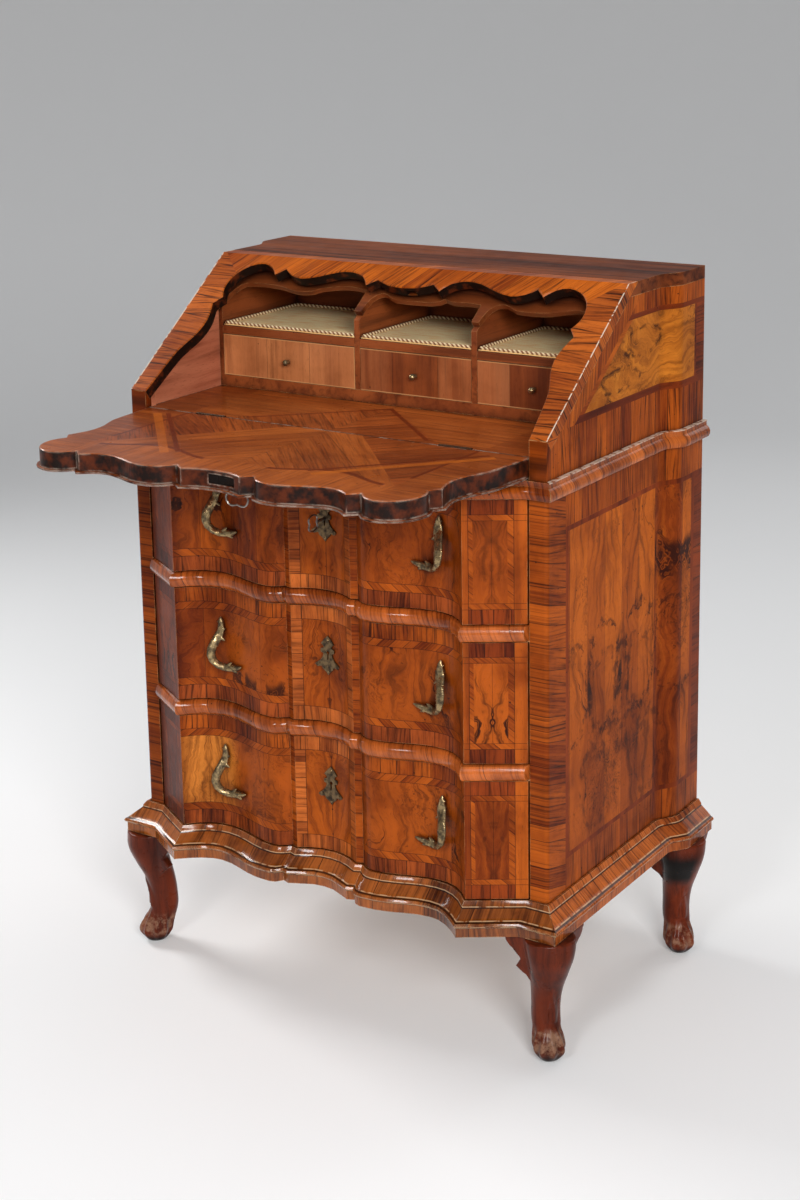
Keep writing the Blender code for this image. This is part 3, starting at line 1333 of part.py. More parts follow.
def make_drawer_lock(low):
    """The top drawer's lock behind its front, with bolt and key."""
    top = low + DRAWER_OPENING - DRAWER_GAP
    z = keyhole_z(low)
    backset = top - z
    # lock space: key along +Y of the world, bolt along +Z
    place = Matrix.Translation((0, FRONT_BOARD_BACK_Y + CLEARANCE, z)) @ Matrix(
        ((-1, 0, 0, 0), (0, 0, 1, 0), (0, 1, 0, 0), (0, 0, 0, 1))
    )
    cover = FRONT_BOARD_BACK_Y + CLEARANCE + CENTRE_DEPTH + ESCUTCHEON_THICKNESS
    piece("drawer_1_lock", moved(lock_shape(backset), place), "steel")
    piece("drawer_1_bolt", moved(bolt_shape(backset), place), "steel")
    bit_down = Matrix.Rotation(math.pi, 4, "Z")
    key = key_shape(cover + DRAWER_KEY_NECK, DRAWER_KEY_BOW_WIDTH, DRAWER_KEY_BOW_HEIGHT)
    key = moved(key, place @ bit_down)
    piece("drawer_1_key", key, "steel", origin=place.to_translation(), smooth=True)


def make_escutcheon(name, low):
    """A nailed rococo plate bent to the hollow of the front."""
    half_width = ESCUTCHEON_WIDTH / 2
    half_height = ESCUTCHEON_HEIGHT / 2
    right = [(x * half_width, z * half_height) for x, z in ESCUTCHEON_OUTLINE_SHARES]
    outline = right + [(-x, z) for x, z in reversed(right[1:-1])]
    plate = front_prism([(x, z - ESCUTCHEON_DROP) for x, z in outline], -ESCUTCHEON_THICKNESS, 0)
    nails = [
        rod_mesh(
            (x * half_width, -ESCUTCHEON_THICKNESS / 2, z * half_height - ESCUTCHEON_DROP),
            (x * half_width, -ESCUTCHEON_THICKNESS - NAIL_HEIGHT, z * half_height - ESCUTCHEON_DROP),
            NAIL_RADIUS, 8,
        )
        for x, z in ESCUTCHEON_NAIL_SHARES
    ]
    plate = fused(name, plate, *nails)
    cutters = [
        rod_mesh((0, -CUT_OVERRUN, 0), (0, CUT_OVERRUN, 0), KEYHOLE_RADIUS, 12),
        box_mesh(
            (-KEYHOLE_SLOT_WIDTH / 2, -CUT_OVERRUN, -KEYHOLE_SLOT_LENGTH),
            (KEYHOLE_SLOT_WIDTH / 2, CUT_OVERRUN, 0),
        ),
    ]
    mesh = divided(cut(name, plate, *cutters), front_stations())
    z = keyhole_z(low)
    for vertex in mesh.vertices:
        vertex.co.y -= face_depth(vertex.co.x) + CLEARANCE
        vertex.co.z += z
    piece(name, mesh, "brass")


def strap(rows, half_thickness):
    """A bent strap through rows of a place, half its width there and the direction of its width."""
    rings = []
    for index, (place, half_width, width_way) in enumerate(rows):
        before = rows[max(index - 1, 0)][0]
        after = rows[min(index + 1, len(rows) - 1)][0]
        along = (after - before).normalized()
        across = Vector(width_way)
        across = (across - along * across.dot(along)).normalized()
        through = along.cross(across)
        ring = []
        for step in range(HANDLE_STRAP_SIDES):
            angle = 2 * math.pi * step / HANDLE_STRAP_SIDES
            thin = min(half_thickness, half_width)
            ring.append(
                place + across * half_width * math.cos(angle) + through * thin * math.sin(angle)
            )
        rings.append(ring)
    return loft(rings)


def make_handle(name, middle_z, flip):
    """A fixed pull: a leafy strap that bows out from the drawer, standing on two posts."""
    middle_x = HANDLE_OFFSET_X + flip * HANDLE_SHIFT_X

    def spot(across, out, up):
        x = middle_x + across * HANDLE_HEIGHT
        return Vector((x, -face_depth(x) - out * HANDLE_HEIGHT, middle_z + up * HANDLE_HEIGHT))

    rows = [
        (spot(across, out, up), half * HANDLE_HEIGHT, (way[0], -way[1], way[2]))
        for across, out, up, half, way in HANDLE_STRAP_SHARES
    ]
    half_thickness = HANDLE_THICKNESS_SHARE * HANDLE_HEIGHT
    body = strap(rows, half_thickness)
    tips = []
    for start, end, half in HANDLE_TIP_SHARES:
        root = spot(*start)
        point = spot(*end)
        tips.append(strap(
            [
                (root, half * HANDLE_HEIGHT, (0, 0, 1)),
                (root.lerp(point, 1 / 2), half * HANDLE_HEIGHT * 0.8, (0, 0, 1)),
                (point, half * HANDLE_HEIGHT / 5, (0, 0, 1)),
            ],
            half_thickness * 0.9,
        ))
    posts = []
    for across, up in HANDLE_POST_SHARES:
        x = middle_x + across * HANDLE_HEIGHT
        z = middle_z + up * HANDLE_HEIGHT
        seat = max(face_depth(x - HANDLE_POST_RADIUS), face_depth(x + HANDLE_POST_RADIUS))
        seat = max(seat, face_depth(x)) + CLEARANCE
        out = min(spot(*row[:3]).y for row in HANDLE_STRAP_SHARES if abs(row[0] - across) < 0.08
                  and abs(row[2] - up) < 0.08)
        posts.append(rod_mesh((x, out, z), (x, -seat, z), HANDLE_POST_RADIUS, 10))
    mesh = fused(name, body, *tips, *posts)
    piece(name, moved(mesh, Matrix.Diagonal((flip, 1, 1, 1))), "brass", smooth=True)


# Small drawers


def make_small_drawers():
    """A small drawer with its knob under each pigeonhole."""
    low = CASE_FLOOR_Z + SLIDING_GAP
    high = SHELF_Z - DRAWER_GAP
    for number, (left, right) in enumerate(compartments(), start=1):
        left += SLIDING_GAP
        right -= SLIDING_GAP
        front = PIGEONHOLE_FRONT_Y
        body = box_mesh((left, front, low), (right, front + SMALL_DRAWER_DEPTH, high))
        hollow = box_mesh(
            (left + SMALL_DRAWER_WALL, front + SMALL_DRAWER_FRONT, low + SMALL_DRAWER_BOTTOM),
            (right - SMALL_DRAWER_WALL, front + SMALL_DRAWER_DEPTH - SMALL_DRAWER_WALL,
             high + CUT_OVERRUN),
        )
        lowered = box_mesh(
            (left - CUT_OVERRUN, front + SMALL_DRAWER_FRONT, high - SMALL_DRAWER_DROP),
            (right + CUT_OVERRUN, front + SMALL_DRAWER_DEPTH + CUT_OVERRUN, high + CUT_OVERRUN),
        )
        name = f"small_drawer_{number}"
        piece(name, cut(name, body, hollow, lowered), "walnut_front")
        knob = make_knob_mesh()
        middle = Matrix.Translation(
            ((left + right) / 2, front - CLEARANCE, (low + high) / 2 - KNOB_DROP)
        )
        piece(f"{name}_knob", moved(knob, middle), "brass", smooth=True)


def make_knob_mesh():
    """A turned knob that points to the front, with its foot at the origin."""
    profile = (
        (KNOB_STEM_RADIUS * 1.3, 0), (KNOB_STEM_RADIUS, KNOB_LENGTH / 4),
        (KNOB_STEM_RADIUS, KNOB_LENGTH * 0.42), (KNOB_RADIUS, KNOB_LENGTH * 0.58),
        (KNOB_RADIUS * 0.94, KNOB_LENGTH * 0.78), (KNOB_RADIUS * 0.5, KNOB_LENGTH),
    )
    rings = []
    sides = 12
    for radius, out in profile:
        ring = []
        for step in range(sides):
            angle = 2 * math.pi * step / sides
            ring.append((radius * math.cos(angle), -out, radius * math.sin(angle)))
        rings.append(ring)
    return loft(rings)


def centre_on_origin():
    """Move all pieces together, so that the origin lies under the middle of their outline."""
    reaches = [
        made.location.y + corner[1] for made in PARTS.objects for corner in made.bound_box
    ]
    middle = (min(reaches) + max(reaches)) / 2
    for made in PARTS.objects:
        made.location.y -= middle


def main():
    """Build every sub-part."""
    make_sides()
    make_top()
    make_back()
    make_sloping_frame()
    make_writing_bed()
    make_waist()
    make_rails()
    make_bottom()
    make_plinth()
    make_legs()
    make_pigeonholes()
    make_linings()
    make_valance()
    make_fall()
    make_hinges()
    make_fall_lock()
    for (name, low), handle_rise in zip(drawer_levels(), HANDLE_RISES):
        make_drawer(name, low, handle_rise)
    make_drawer_lock(drawer_levels()[0][1])
    make_small_drawers()
    centre_on_origin()


main()
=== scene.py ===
"""Looks of the drop-front cabinet: veneers, metals, cloth linings, small fixings, studio and camera."""

import json
import logging
import math
from dataclasses import dataclass
from enum import Enum

import bmesh
import bpy
from mathutils import Matrix, Vector
from mathutils.bvhtree import BVHTree

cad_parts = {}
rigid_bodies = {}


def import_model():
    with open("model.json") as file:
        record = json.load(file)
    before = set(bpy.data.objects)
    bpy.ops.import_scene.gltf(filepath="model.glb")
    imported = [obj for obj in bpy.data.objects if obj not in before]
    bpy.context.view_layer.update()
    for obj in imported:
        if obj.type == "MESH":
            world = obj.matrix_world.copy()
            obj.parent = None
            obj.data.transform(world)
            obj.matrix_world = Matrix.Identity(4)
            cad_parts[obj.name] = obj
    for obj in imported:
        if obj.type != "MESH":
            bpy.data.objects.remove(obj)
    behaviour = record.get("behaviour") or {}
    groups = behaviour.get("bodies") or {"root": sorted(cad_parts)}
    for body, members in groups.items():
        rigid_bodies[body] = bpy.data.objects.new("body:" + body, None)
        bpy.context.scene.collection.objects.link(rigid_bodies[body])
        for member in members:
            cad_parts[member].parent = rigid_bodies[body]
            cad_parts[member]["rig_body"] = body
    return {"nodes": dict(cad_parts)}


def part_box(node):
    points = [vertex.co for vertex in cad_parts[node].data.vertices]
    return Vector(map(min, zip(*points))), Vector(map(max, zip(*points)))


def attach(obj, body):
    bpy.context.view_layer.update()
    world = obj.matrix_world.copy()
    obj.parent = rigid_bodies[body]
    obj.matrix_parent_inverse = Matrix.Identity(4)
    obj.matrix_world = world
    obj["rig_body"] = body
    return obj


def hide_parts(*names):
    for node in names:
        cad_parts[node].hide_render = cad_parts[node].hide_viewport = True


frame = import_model()

LOG = logging.getLogger("cabinet")
Colour = tuple[float, float, float]

SHIFT_Y = 0.07464548
"""How far the drawing's zero, the front edge of the case sides, lies behind the part's origin."""

SLOPE = math.radians(36.71)
SLOPE_LOW_Z = 0.8517
"""The sloping frame's surface: its angle, and its height over the drawing's zero."""

UPWARDS = Vector((0, 0, 1))
BACKWARDS = Vector((0, 1, 0))


class Axis(Enum):
    """A direction of the case that a grain or a band runs along."""

    ACROSS = 0
    DEEP = 1
    UP = 2


def shade_of(red: int, green: int, blue: int) -> Colour:
    """Turns a colour as seen on a screen, 0 to 255, into the linear one that a shader takes."""
    parts = [c / 255 for c in (red, green, blue)]
    return tuple(c / 12.92 if c <= 0.04045 else ((c + 0.055) / 1.055) ** 2.4 for c in parts)


class Number:
    """A value in a node tree, so that sums are written as plain arithmetic."""

    def __init__(self, bench: "Bench", socket: bpy.types.NodeSocket) -> None:
        """Keeps the socket and the bench that it lies on."""
        self.bench, self.socket = bench, socket

    def __add__(self, other: "Value") -> "Number":
        """The sum."""
        return self.bench.math("ADD", self, other)

    def __sub__(self, other: "Value") -> "Number":
        """The difference."""
        return self.bench.math("SUBTRACT", self, other)

    def __rsub__(self, other: float) -> "Number":
        """The difference from a plain number."""
        return self.bench.math("SUBTRACT", other, self)

    def __mul__(self, other: "Value") -> "Number":
        """The product."""
        return self.bench.math("MULTIPLY", self, other)

    def __truediv__(self, other: "Value") -> "Number":
        """The quotient."""
        return self.bench.math("DIVIDE", self, other)

    def __abs__(self) -> "Number":
        """The number without its sign."""
        return self.bench.math("ABSOLUTE", self)

    def least(self, other: "Number") -> "Number":
        """The smaller of two numbers."""
        return self.bench.math("MINIMUM", self, other)

    def rise(self, low: "Value", high: "Value") -> "Number":
        """A soft step, 0 at low and 1 at high, where high may be below low."""
        ends = {"Value": self, "From Min": low, "From Max": high}
        return self.bench.out("ShaderNodeMapRange", ends, interpolation_type="SMOOTHSTEP")

    def inside(self, low: float, high: float, edge: float = 0.0003) -> "Number":
        """A mask that is 1 between two numbers, with soft ends."""
        return self.rise(low - edge, low + edge).least(self.rise(high + edge, high - edge))

    def line(self, place: float, width: float) -> "Number":
        """A mask that is 1 along a thin line."""
        return abs(self - place).rise(width * 0.75, width * 0.25)


Value = float | Number
Inputs = dict[str | int, object]
"""Values for a node's inputs, by name or number."""

Layer = tuple[Value, object]
"""A mask and the colour that it lets through."""


class Bench:
    """Adds nodes to one tree and joins them."""

    def __init__(self, tree: bpy.types.NodeTree) -> None:
        """Keeps the tree to work on."""
        self.tree = tree

    def add(self, kind: str, inputs: Inputs | None = None, **settings: object) -> bpy.types.Node:
        """Adds a node.

        Args:
            kind: the node's Blender type.
            inputs: values for its inputs, by name or number.
            settings: its own settings.

        Returns:
            The new node.
        """
        node = self.tree.nodes.new(kind)
        for name, value in settings.items():
            setattr(node, name, value)
        for name, value in (inputs or {}).items():
            self.put(node.inputs[name], value)
        return node

    def out(
        self, kind: str, inputs: Inputs | None = None, pick: str | int = 0, **settings: object
    ) -> Number:
        """Adds a node and gives the output that pick names."""
        return Number(self, self.add(kind, inputs, **settings).outputs[pick])

    def put(self, target: bpy.types.NodeSocket, value: object) -> None:
        """Joins a value to an input, or sets the input's own.

        Args:
            target: the input.
            value: a value of the tree, or a plain number, vector, colour or material.
        """
        if isinstance(value, Number):
            self.tree.links.new(value.socket, target)
        elif target.type == "RGBA":
            target.default_value = (*value[:3], 1.0)
        else:
            target.default_value = value

    def math(self, operation: str, *values: Value, clamp: bool = False) -> Number:
        """One sum of numbers, kept from 0 to 1 if clamp says so."""
        return self.out("ShaderNodeMath", dict(enumerate(values)), operation=operation, use_clamp=clamp)

    def vector_math(self, operation: str, first: Number, second: object, pick: str = "Vector") -> Number:
        """One sum of two vectors."""
        return self.out("ShaderNodeVectorMath", {0: first, 1: second}, pick, operation=operation)

    def largest(self, *values: Number) -> Number:
        """Picks the largest number.

        Args:
            values: the numbers.

        Returns:
            The largest.
        """
        result = values[0]
        for value in values[1:]:
            result = self.math("MAXIMUM", result, value)
        return result

    def blend(self, share: Value, first: object, second: object, way: str = "MIX") -> Number:
        """Mixes two colours, with share of the second."""
        colours = {0: share, 6: first, 7: second}
        return self.out("ShaderNodeMix", colours, 2, data_type="RGBA", blend_type=way)

    def shaded(self, share: Value, colour: Number, tint: Colour) -> Number:
        """Multiplies a colour by a tint, under a mask."""
        return self.blend(share, colour, self.blend(1.0, colour, tint, "MULTIPLY"))

    def layers(self, colour: Number, *layers: Layer) -> Number:
        """Lays colours over each other.

        Args:
            colour: the lowest one.
            layers: the masks and colours over it, from the lowest up.

        Returns:
            The mixed colour.
        """
        for mask, over in layers:
            colour = self.blend(mask, colour, over)
        return colour

    def spot(self, x: Value, y: Value, z: Value = 0.0) -> Number:
        """Joins three numbers into a vector."""
        return self.out("ShaderNodeCombineXYZ", {0: x, 1: y, 2: z})

    def split(self, vector: Number, kind: str = "ShaderNodeSeparateXYZ") -> list[Number]:
        """Takes a vector or a colour apart into its three numbers."""
        return [Number(self, socket) for socket in self.add(kind, {0: vector}).outputs]

    def own_place(self) -> Number:
        """The place on the piece itself."""
        return self.out("ShaderNodeTexCoord", pick="Object")

    def normal(self) -> Number:
        """The way that the surface faces."""
        return self.out("ShaderNodeNewGeometry", pick="Normal")

    def noise(
        self, where: Number, scale: Value = 1.0, detail: float = 3.0, rough: float = 0.55, swirl: float = 0.0
    ) -> Number:
        """Noise from 0 to 1, with finer layers by detail and rough, bent by swirl."""
        inputs = {"Vector": where, "Scale": scale, "Detail": detail, "Roughness": rough, "Distortion": swirl}
        return self.out("ShaderNodeTexNoise", inputs)

    def pores(self, x: Number, y: Number, z: Number) -> Number:
        """A mask of the fine dark pores, at a stretched place."""
        return self.noise(self.spot(x, y, z), 1.0, 1.0).rise(0.63, 0.75)

    def bump(self, height: Number, strength: float, distance: float) -> Number:
        """The normal of a relief."""
        return self.out("ShaderNodeBump", {"Strength": strength, "Distance": distance, "Height": height})

    def effect(self, group: bpy.types.NodeTree, **inputs: object) -> dict[str, Number]:
        """Places a shared effect and gives its outputs by name."""
        node = self.add("ShaderNodeGroup", inputs, node_tree=group)
        return {socket.name: Number(self, socket) for socket in node.outputs}

    def surface(self, inputs: dict[str, object]) -> None:
        """Ends a material with its shader."""
        self.add("ShaderNodeOutputMaterial", {"Surface": self.out("ShaderNodeBsdfPrincipled", inputs)})


def new_material(name: str) -> tuple[bpy.types.Material, Bench]:
    """Starts an empty material.

    Args:
        name: its name.

    Returns:
        The material, and the bench of its tree.
    """
    material = bpy.data.materials.new(name)
    material.use_nodes = True
    material.node_tree.nodes.clear()
    return material, Bench(material.node_tree)


class Effect:
    """A shader node group being made."""

    def __init__(self, name: str, inputs: dict[str, float | Colour], outputs: tuple[str, ...]) -> None:
        """Starts the group with its sockets.

        Args:
            name: the group's name.
            inputs: its inputs with their values; three numbers make a colour.
            outputs: the names of its outputs.
        """
        self.tree = bpy.data.node_groups.new(name, "ShaderNodeTree")
        for label, value in inputs.items():
            is_colour = isinstance(value, tuple)
            kind = "NodeSocketColor" if is_colour else "NodeSocketFloat"
            socket = self.tree.interface.new_socket(name=label, in_out="INPUT", socket_type=kind)
            socket.default_value = (*value, 1.0) if is_colour else value
        for label in outputs:
            kind = "NodeSocketColor" if label == "Color" else "NodeSocketFloat"
            self.tree.interface.new_socket(name=label, in_out="OUTPUT", socket_type=kind)
        self.bench = Bench(self.tree)
        start = self.tree.nodes.new("NodeGroupInput").outputs
        self.given = [Number(self.bench, start[label]) for label in inputs]
        self.result = self.tree.nodes.new("NodeGroupOutput").inputs

    def give(self, **values: Number) -> bpy.types.NodeTree:
        """Joins the results to the outputs.

        Args:
            values: the results by output name.

        Returns:
            The finished group.
        """
        for name, value in values.items():
            self.bench.put(self.result[name], value)
        return self.tree


PATTERN = ("Tone", "Streak", "Pore", "Joint")
"""What every veneer pattern puts out."""


class Effects:
    """The effects that several finishes share, each built once."""

    def __init__(self) -> None:
        """Builds every shared group."""
        self.banding = self.make_banding()
        self.leaves = self.make_leaves()
        self.plank = self.make_plank()
        self.tones = self.make_tones()
        self.wear = self.make_wear()
        self.knot = self.make_knot()
        self.age = self.make_age_and_shade()

    def make_banding(self) -> bpy.types.NodeTree:
        """Short blocks of veneer laid side by side, with the grain across the band.

        Returns:
            The group.
        """
        inputs = {"Along": 0.0, "Across": 0.0, "Block": 0.03, "Slant": 0.0, "Seed": 0.0}
        effect = Effect("Banding", inputs, PATTERN)
        bench, (along, across, block, slant, seed) = effect.bench, effect.given
        leaning = along + slant * across
        blocks = {"W": leaning / block + seed * 17.31, "Scale": 1.0, "Randomness": 0.7}
        voronoi = "ShaderNodeTexVoronoi"
        own_colour = bench.out(voronoi, blocks, "Color", voronoi_dimensions="1D", feature="F1")
        edge = bench.out(voronoi, blocks, "Distance", voronoi_dimensions="1D", feature="DISTANCE_TO_EDGE")
        chance, shift, lean = bench.split(own_colour, "ShaderNodeSeparateColor")
        own = shift * 40.0
        drift = (lean - 0.5) * across * 0.25
        grain = bench.spot(across * 11.0 + own, (leaning + drift) * 300.0, own)
        broad = bench.noise(bench.spot(across * 7.0 + own, leaning * 70.0, own), 1.0, 3.0, 0.6)
        return effect.give(
            Tone=bench.math("ADD", chance * 0.8, (broad - 0.5) * 1.6 + 0.1, clamp=True),
            Streak=bench.noise(grain, 1.0, 4.0, 0.6, 0.15),
            Pore=bench.pores(across * 130.0 + own, leaning * 1500.0, own),
            Joint=(edge * block).rise(0.0009, 0.0002),
        )

    def make_leaves(self) -> bpy.types.NodeTree:
        """Leaves of figured veneer, each pair opened like a book, with dark curls and burr.

        Returns:
            The group.
        """
        inputs = {"Along": 0.0, "Across": 0.0, "Leaf": 0.05, "Swirl": 0.03, "Seed": 0.0}
        effect = Effect("Leaves", inputs, (*PATTERN, "Curl", "Burr", "Smoke"))
        bench, (along, across, leaf, swirl, seed) = effect.bench, effect.given
        mirrored = bench.math("PINGPONG", across, leaf)
        pair = bench.math("FLOOR", across / (leaf * 2.0))
        number = bench.math("FLOOR", across / leaf)
        own = pair * 3.7 + seed
        wide = bench.spot(mirrored * 9.0, along * 6.0, own)
        near = bench.spot(mirrored * 34.0, along * 26.0, own)
        bend = (bench.noise(wide, 1.0, 2.0, 0.5) - 0.5) * swirl * 4.0
        curl = (bench.noise(near, 1.0, 3.0, 0.55) - 0.5) * swirl
        bent = mirrored + bend + curl
        smoky = bench.noise(bench.spot(bent * 38.0, along * 9.0, own + 4.0), 1.0, 3.0, 0.6)
        rings = mirrored + bend * 2.2 + curl * 2.4
        lines = bench.noise(bench.spot(rings * 62.0, along * 3.0, own + 9.0), 1.0, 3.0, 0.7)
        knotty = bench.noise(bench.spot(bent * 120.0, (along + curl) * 95.0, own), 1.0, 5.0, 0.7, 2.2)
        return effect.give(
            Tone=bench.out("ShaderNodeTexWhiteNoise", {"W": number + seed}, noise_dimensions="1D"),
            Streak=bench.noise(bench.spot(bent * 110.0, along * 7.0, own), 1.0, 5.0, 0.62, 0.3),
            Pore=bench.pores(bent * 1300.0, along * 110.0, own),
            Joint=mirrored.least(leaf - mirrored).rise(0.0006, 0.0001) * 0.7,
            Curl=lines.rise(0.56, 0.66) * bench.noise(wide, 2.3, 2.0, 0.5).rise(0.47, 0.62),
            Burr=knotty.rise(0.46, 0.66) * bench.noise(wide, 1.7, 3.0, 0.6).rise(0.46, 0.66),
            Smoke=smoky.rise(0.50, 0.72),
        )

    def make_plank(self) -> bpy.types.NodeTree:
        """The straight grain of a solid board, which has no joints.

        Returns:
            The group.
        """
        effect = Effect("Plank", {"Along": 0.0, "Across": 0.0, "Through": 0.0, "Seed": 0.0}, PATTERN)
        bench, (along, across, through, seed) = effect.bench, effect.given
        own = seed * 5.3
        slow = bench.spot(along * 2.5, across * 14.0 + own, through * 14.0)
        bend = (bench.noise(slow, 1.0, 2.0) - 0.5) * 0.03
        side, deep = across + bend, through + bend
        rings = bench.spot(along * 3.0, side * 85.0 + own, deep * 85.0)
        broad = bench.spot(along * 1.6, side * 17.0 + own, deep * 17.0)
        return effect.give(
            Tone=bench.noise(broad, 1.0, 2.0).rise(0.3, 0.7),
            Streak=bench.noise(rings, 1.0, 5.0, 0.62, 0.4),
            Pore=bench.pores(along * 90.0, side * 1200.0, deep * 1200.0),
        )

    def make_tones(self) -> bpy.types.NodeTree:
        """Turns a veneer's pattern into its colour.

        Returns:
            The group.
        """
        inputs = {"Tone": 0.5, "Streak": 0.5, "Pore": 0.0, "Joint": 0.0, "Contrast": 0.6}
        inputs |= {"Pale": (0.5, 0.2, 0.05), "Middle": (0.3, 0.1, 0.03), "Dark": (0.06, 0.02, 0.01)}
        effect = Effect("Tones", inputs, ("Color",))
        bench, (tone, streak, pore, joint, contrast, pale, middle, dark) = effect.bench, effect.given
        colour = bench.layers(
            bench.blend(tone, bench.blend(0.30, middle, dark), pale),
            (streak.rise(0.56, 0.30) * 0.35, pale),
            (streak.rise(0.47, 0.72) * contrast, dark),
            (pore * 0.5, dark),
            (joint * 0.75, (0.016, 0.006, 0.003)),
        )
        return effect.give(Color=colour)

    def make_wear(self) -> bpy.types.NodeTree:
        """Worn edges, found by rounding them off.

        Returns:
            The group, whose Edge is 1 on an edge.
        """
        effect = Effect("Wear", {"Radius": 0.002, "Amount": 1.0}, ("Edge",))
        bench, (radius, amount) = effect.bench, effect.given
        rounded = bench.out("ShaderNodeBevel", {"Radius": radius}, samples=4)
        turned = bench.vector_math("DOT_PRODUCT", rounded, bench.normal(), "Value").rise(0.985, 0.82)
        patch = bench.noise(bench.own_place(), 55.0, 4.0, 0.7).rise(0.38, 0.62)
        return effect.give(Edge=turned * patch * amount)

    def make_knot(self) -> bpy.types.NodeTree:
        """A broken ring of dark figure round an oval.

        Returns:
            The group.
        """
        inputs = {"Across": 0.0, "Along": 0.0, "Wide": 0.03, "High": 0.06, "Thick": 0.2, "Seed": 0.0}
        effect = Effect("Knot", inputs, ("Ring",))
        bench, (across, along, wide, high, thick, seed) = effect.bench, effect.given
        place = bench.spot(across * 26.0, along * 26.0, seed)
        warp = bench.noise(place, 1.0, 6.0, 0.68) - 0.5
        x, y = across / wide, along / high
        distance = bench.math("SQRT", x * x + y * y) + warp * 1.2
        ripple = bench.noise(bench.spot(distance * 7.0, seed, 0.0), 1.0, 3.0, 0.7).rise(0.3, 0.55)
        broken = bench.noise(place, 2.1, 3.0, 0.6).rise(0.42, 0.6)
        return effect.give(Ring=abs(distance - 1.0).rise(thick, thick * 0.3) * ripple * broken)

    def make_age_and_shade(self) -> bpy.types.NodeTree:
        """The marks of age, small holes and uneven dark polish, with painted shade in corners and crevices.

        Returns:
            The group.
        """
        effect = Effect("Age", {"Reach": 0.014, "Patches": 9.0}, ("Holes", "Crevice", "Patch"))
        bench, (reach, patches) = effect.bench, effect.given
        place = bench.own_place()
        inputs = {"Vector": place, "Scale": 62.0, "Randomness": 1.0}
        cells = bench.add("ShaderNodeTexVoronoi", inputs, voronoi_dimensions="3D", feature="F1").outputs
        chance = bench.split(Number(bench, cells["Color"]), "ShaderNodeSeparateColor")[0]
        size = chance.rise(0.45, 1.0) * 0.085
        # Ambient occlusion, used as painted shade in corners and crevices.
        occlusion_shade = bench.out("ShaderNodeAmbientOcclusion", {"Distance": reach}, "AO", samples=4)
        return effect.give(
            Holes=(size - Number(bench, cells["Distance"])).rise(0.0, 0.02),
            Crevice=occlusion_shade.rise(0.85, 0.35),
            Patch=bench.noise(place, patches, 4.0, 0.62).rise(0.42, 0.72),
        )


EFFECTS = Effects()


@dataclass(frozen=True)
class Tints:
    """The three tones of one wood."""

    pale: Colour
    middle: Colour
    dark: Colour


def tints_of(*tones: tuple[int, int, int]) -> Tints:
    """The tones of a wood from its pale, middle and dark screen colours."""
    return Tints(*(shade_of(*tone) for tone in tones))


STILE = tints_of((196, 100, 34), (142, 60, 18), (44, 17, 8))
GOLDEN = tints_of((202, 102, 26), (158, 66, 15), (52, 18, 7))
ORANGE = tints_of((184, 88, 22), (130, 49, 11), (40, 14, 6))
AMBER = tints_of((246, 158, 66), (220, 122, 42), (60, 24, 10))
BAND = tints_of((178, 84, 32), (118, 48, 18), (34, 12, 6))
RUSSET = tints_of((148, 62, 19), (102, 35, 11), (34, 12, 6))
BROWN = tints_of((136, 68, 30), (90, 38, 16), (28, 11, 6))
YELLOW = tints_of((226, 142, 46), (196, 102, 28), (50, 19, 8))
MAHOGANY = tints_of((178, 92, 36), (140, 63, 22), (60, 22, 9))
MAHOGANY_DARK = tints_of((172, 84, 32), (126, 54, 20), (54, 20, 9))
STAIN = tints_of((118, 46, 20), (76, 26, 12), (22, 9, 6))
PLINTH_BROWN = tints_of((180, 98, 38), (104, 50, 18), (28, 12, 6))
RAIL_DARK = tints_of((202, 104, 42), (140, 63, 23), (40, 16, 8))
RAIL_BROWN = tints_of((208, 110, 46), (146, 66, 24), (44, 18, 8))
INNER = tints_of((226, 148, 96), (188, 108, 62), (96, 44, 24))
INNER_CALM = tints_of((206, 130, 78), (180, 106, 60), (104, 52, 28))
CHEEK = tints_of((214, 134, 98), (182, 102, 72), (92, 42, 28))
BEECH_BROWN = tints_of((158, 82, 40), (132, 62, 30), (60, 26, 14))
PINE = tints_of((206, 160, 106), (178, 128, 78), (120, 74, 40))
WORN_EDGE = shade_of(206, 150, 96)
# A pale tint for worn edges, also used for lines of wear and painted highlight on the plinth.
PALE_WEAR_AND_HIGHLIGHT = shade_of(214, 176, 132)
# A near-white for rubbed polish with a painted highlight, on arrises and top edges.
RUBBED_AND_HIGHLIGHT = shade_of(226, 206, 184)
# A near-black brown for dirt, dark joints and blackened wood, also used as painted shade in crevices, quirks
# and gaps.
GRIME_AND_SHADE = shade_of(28, 16, 12)


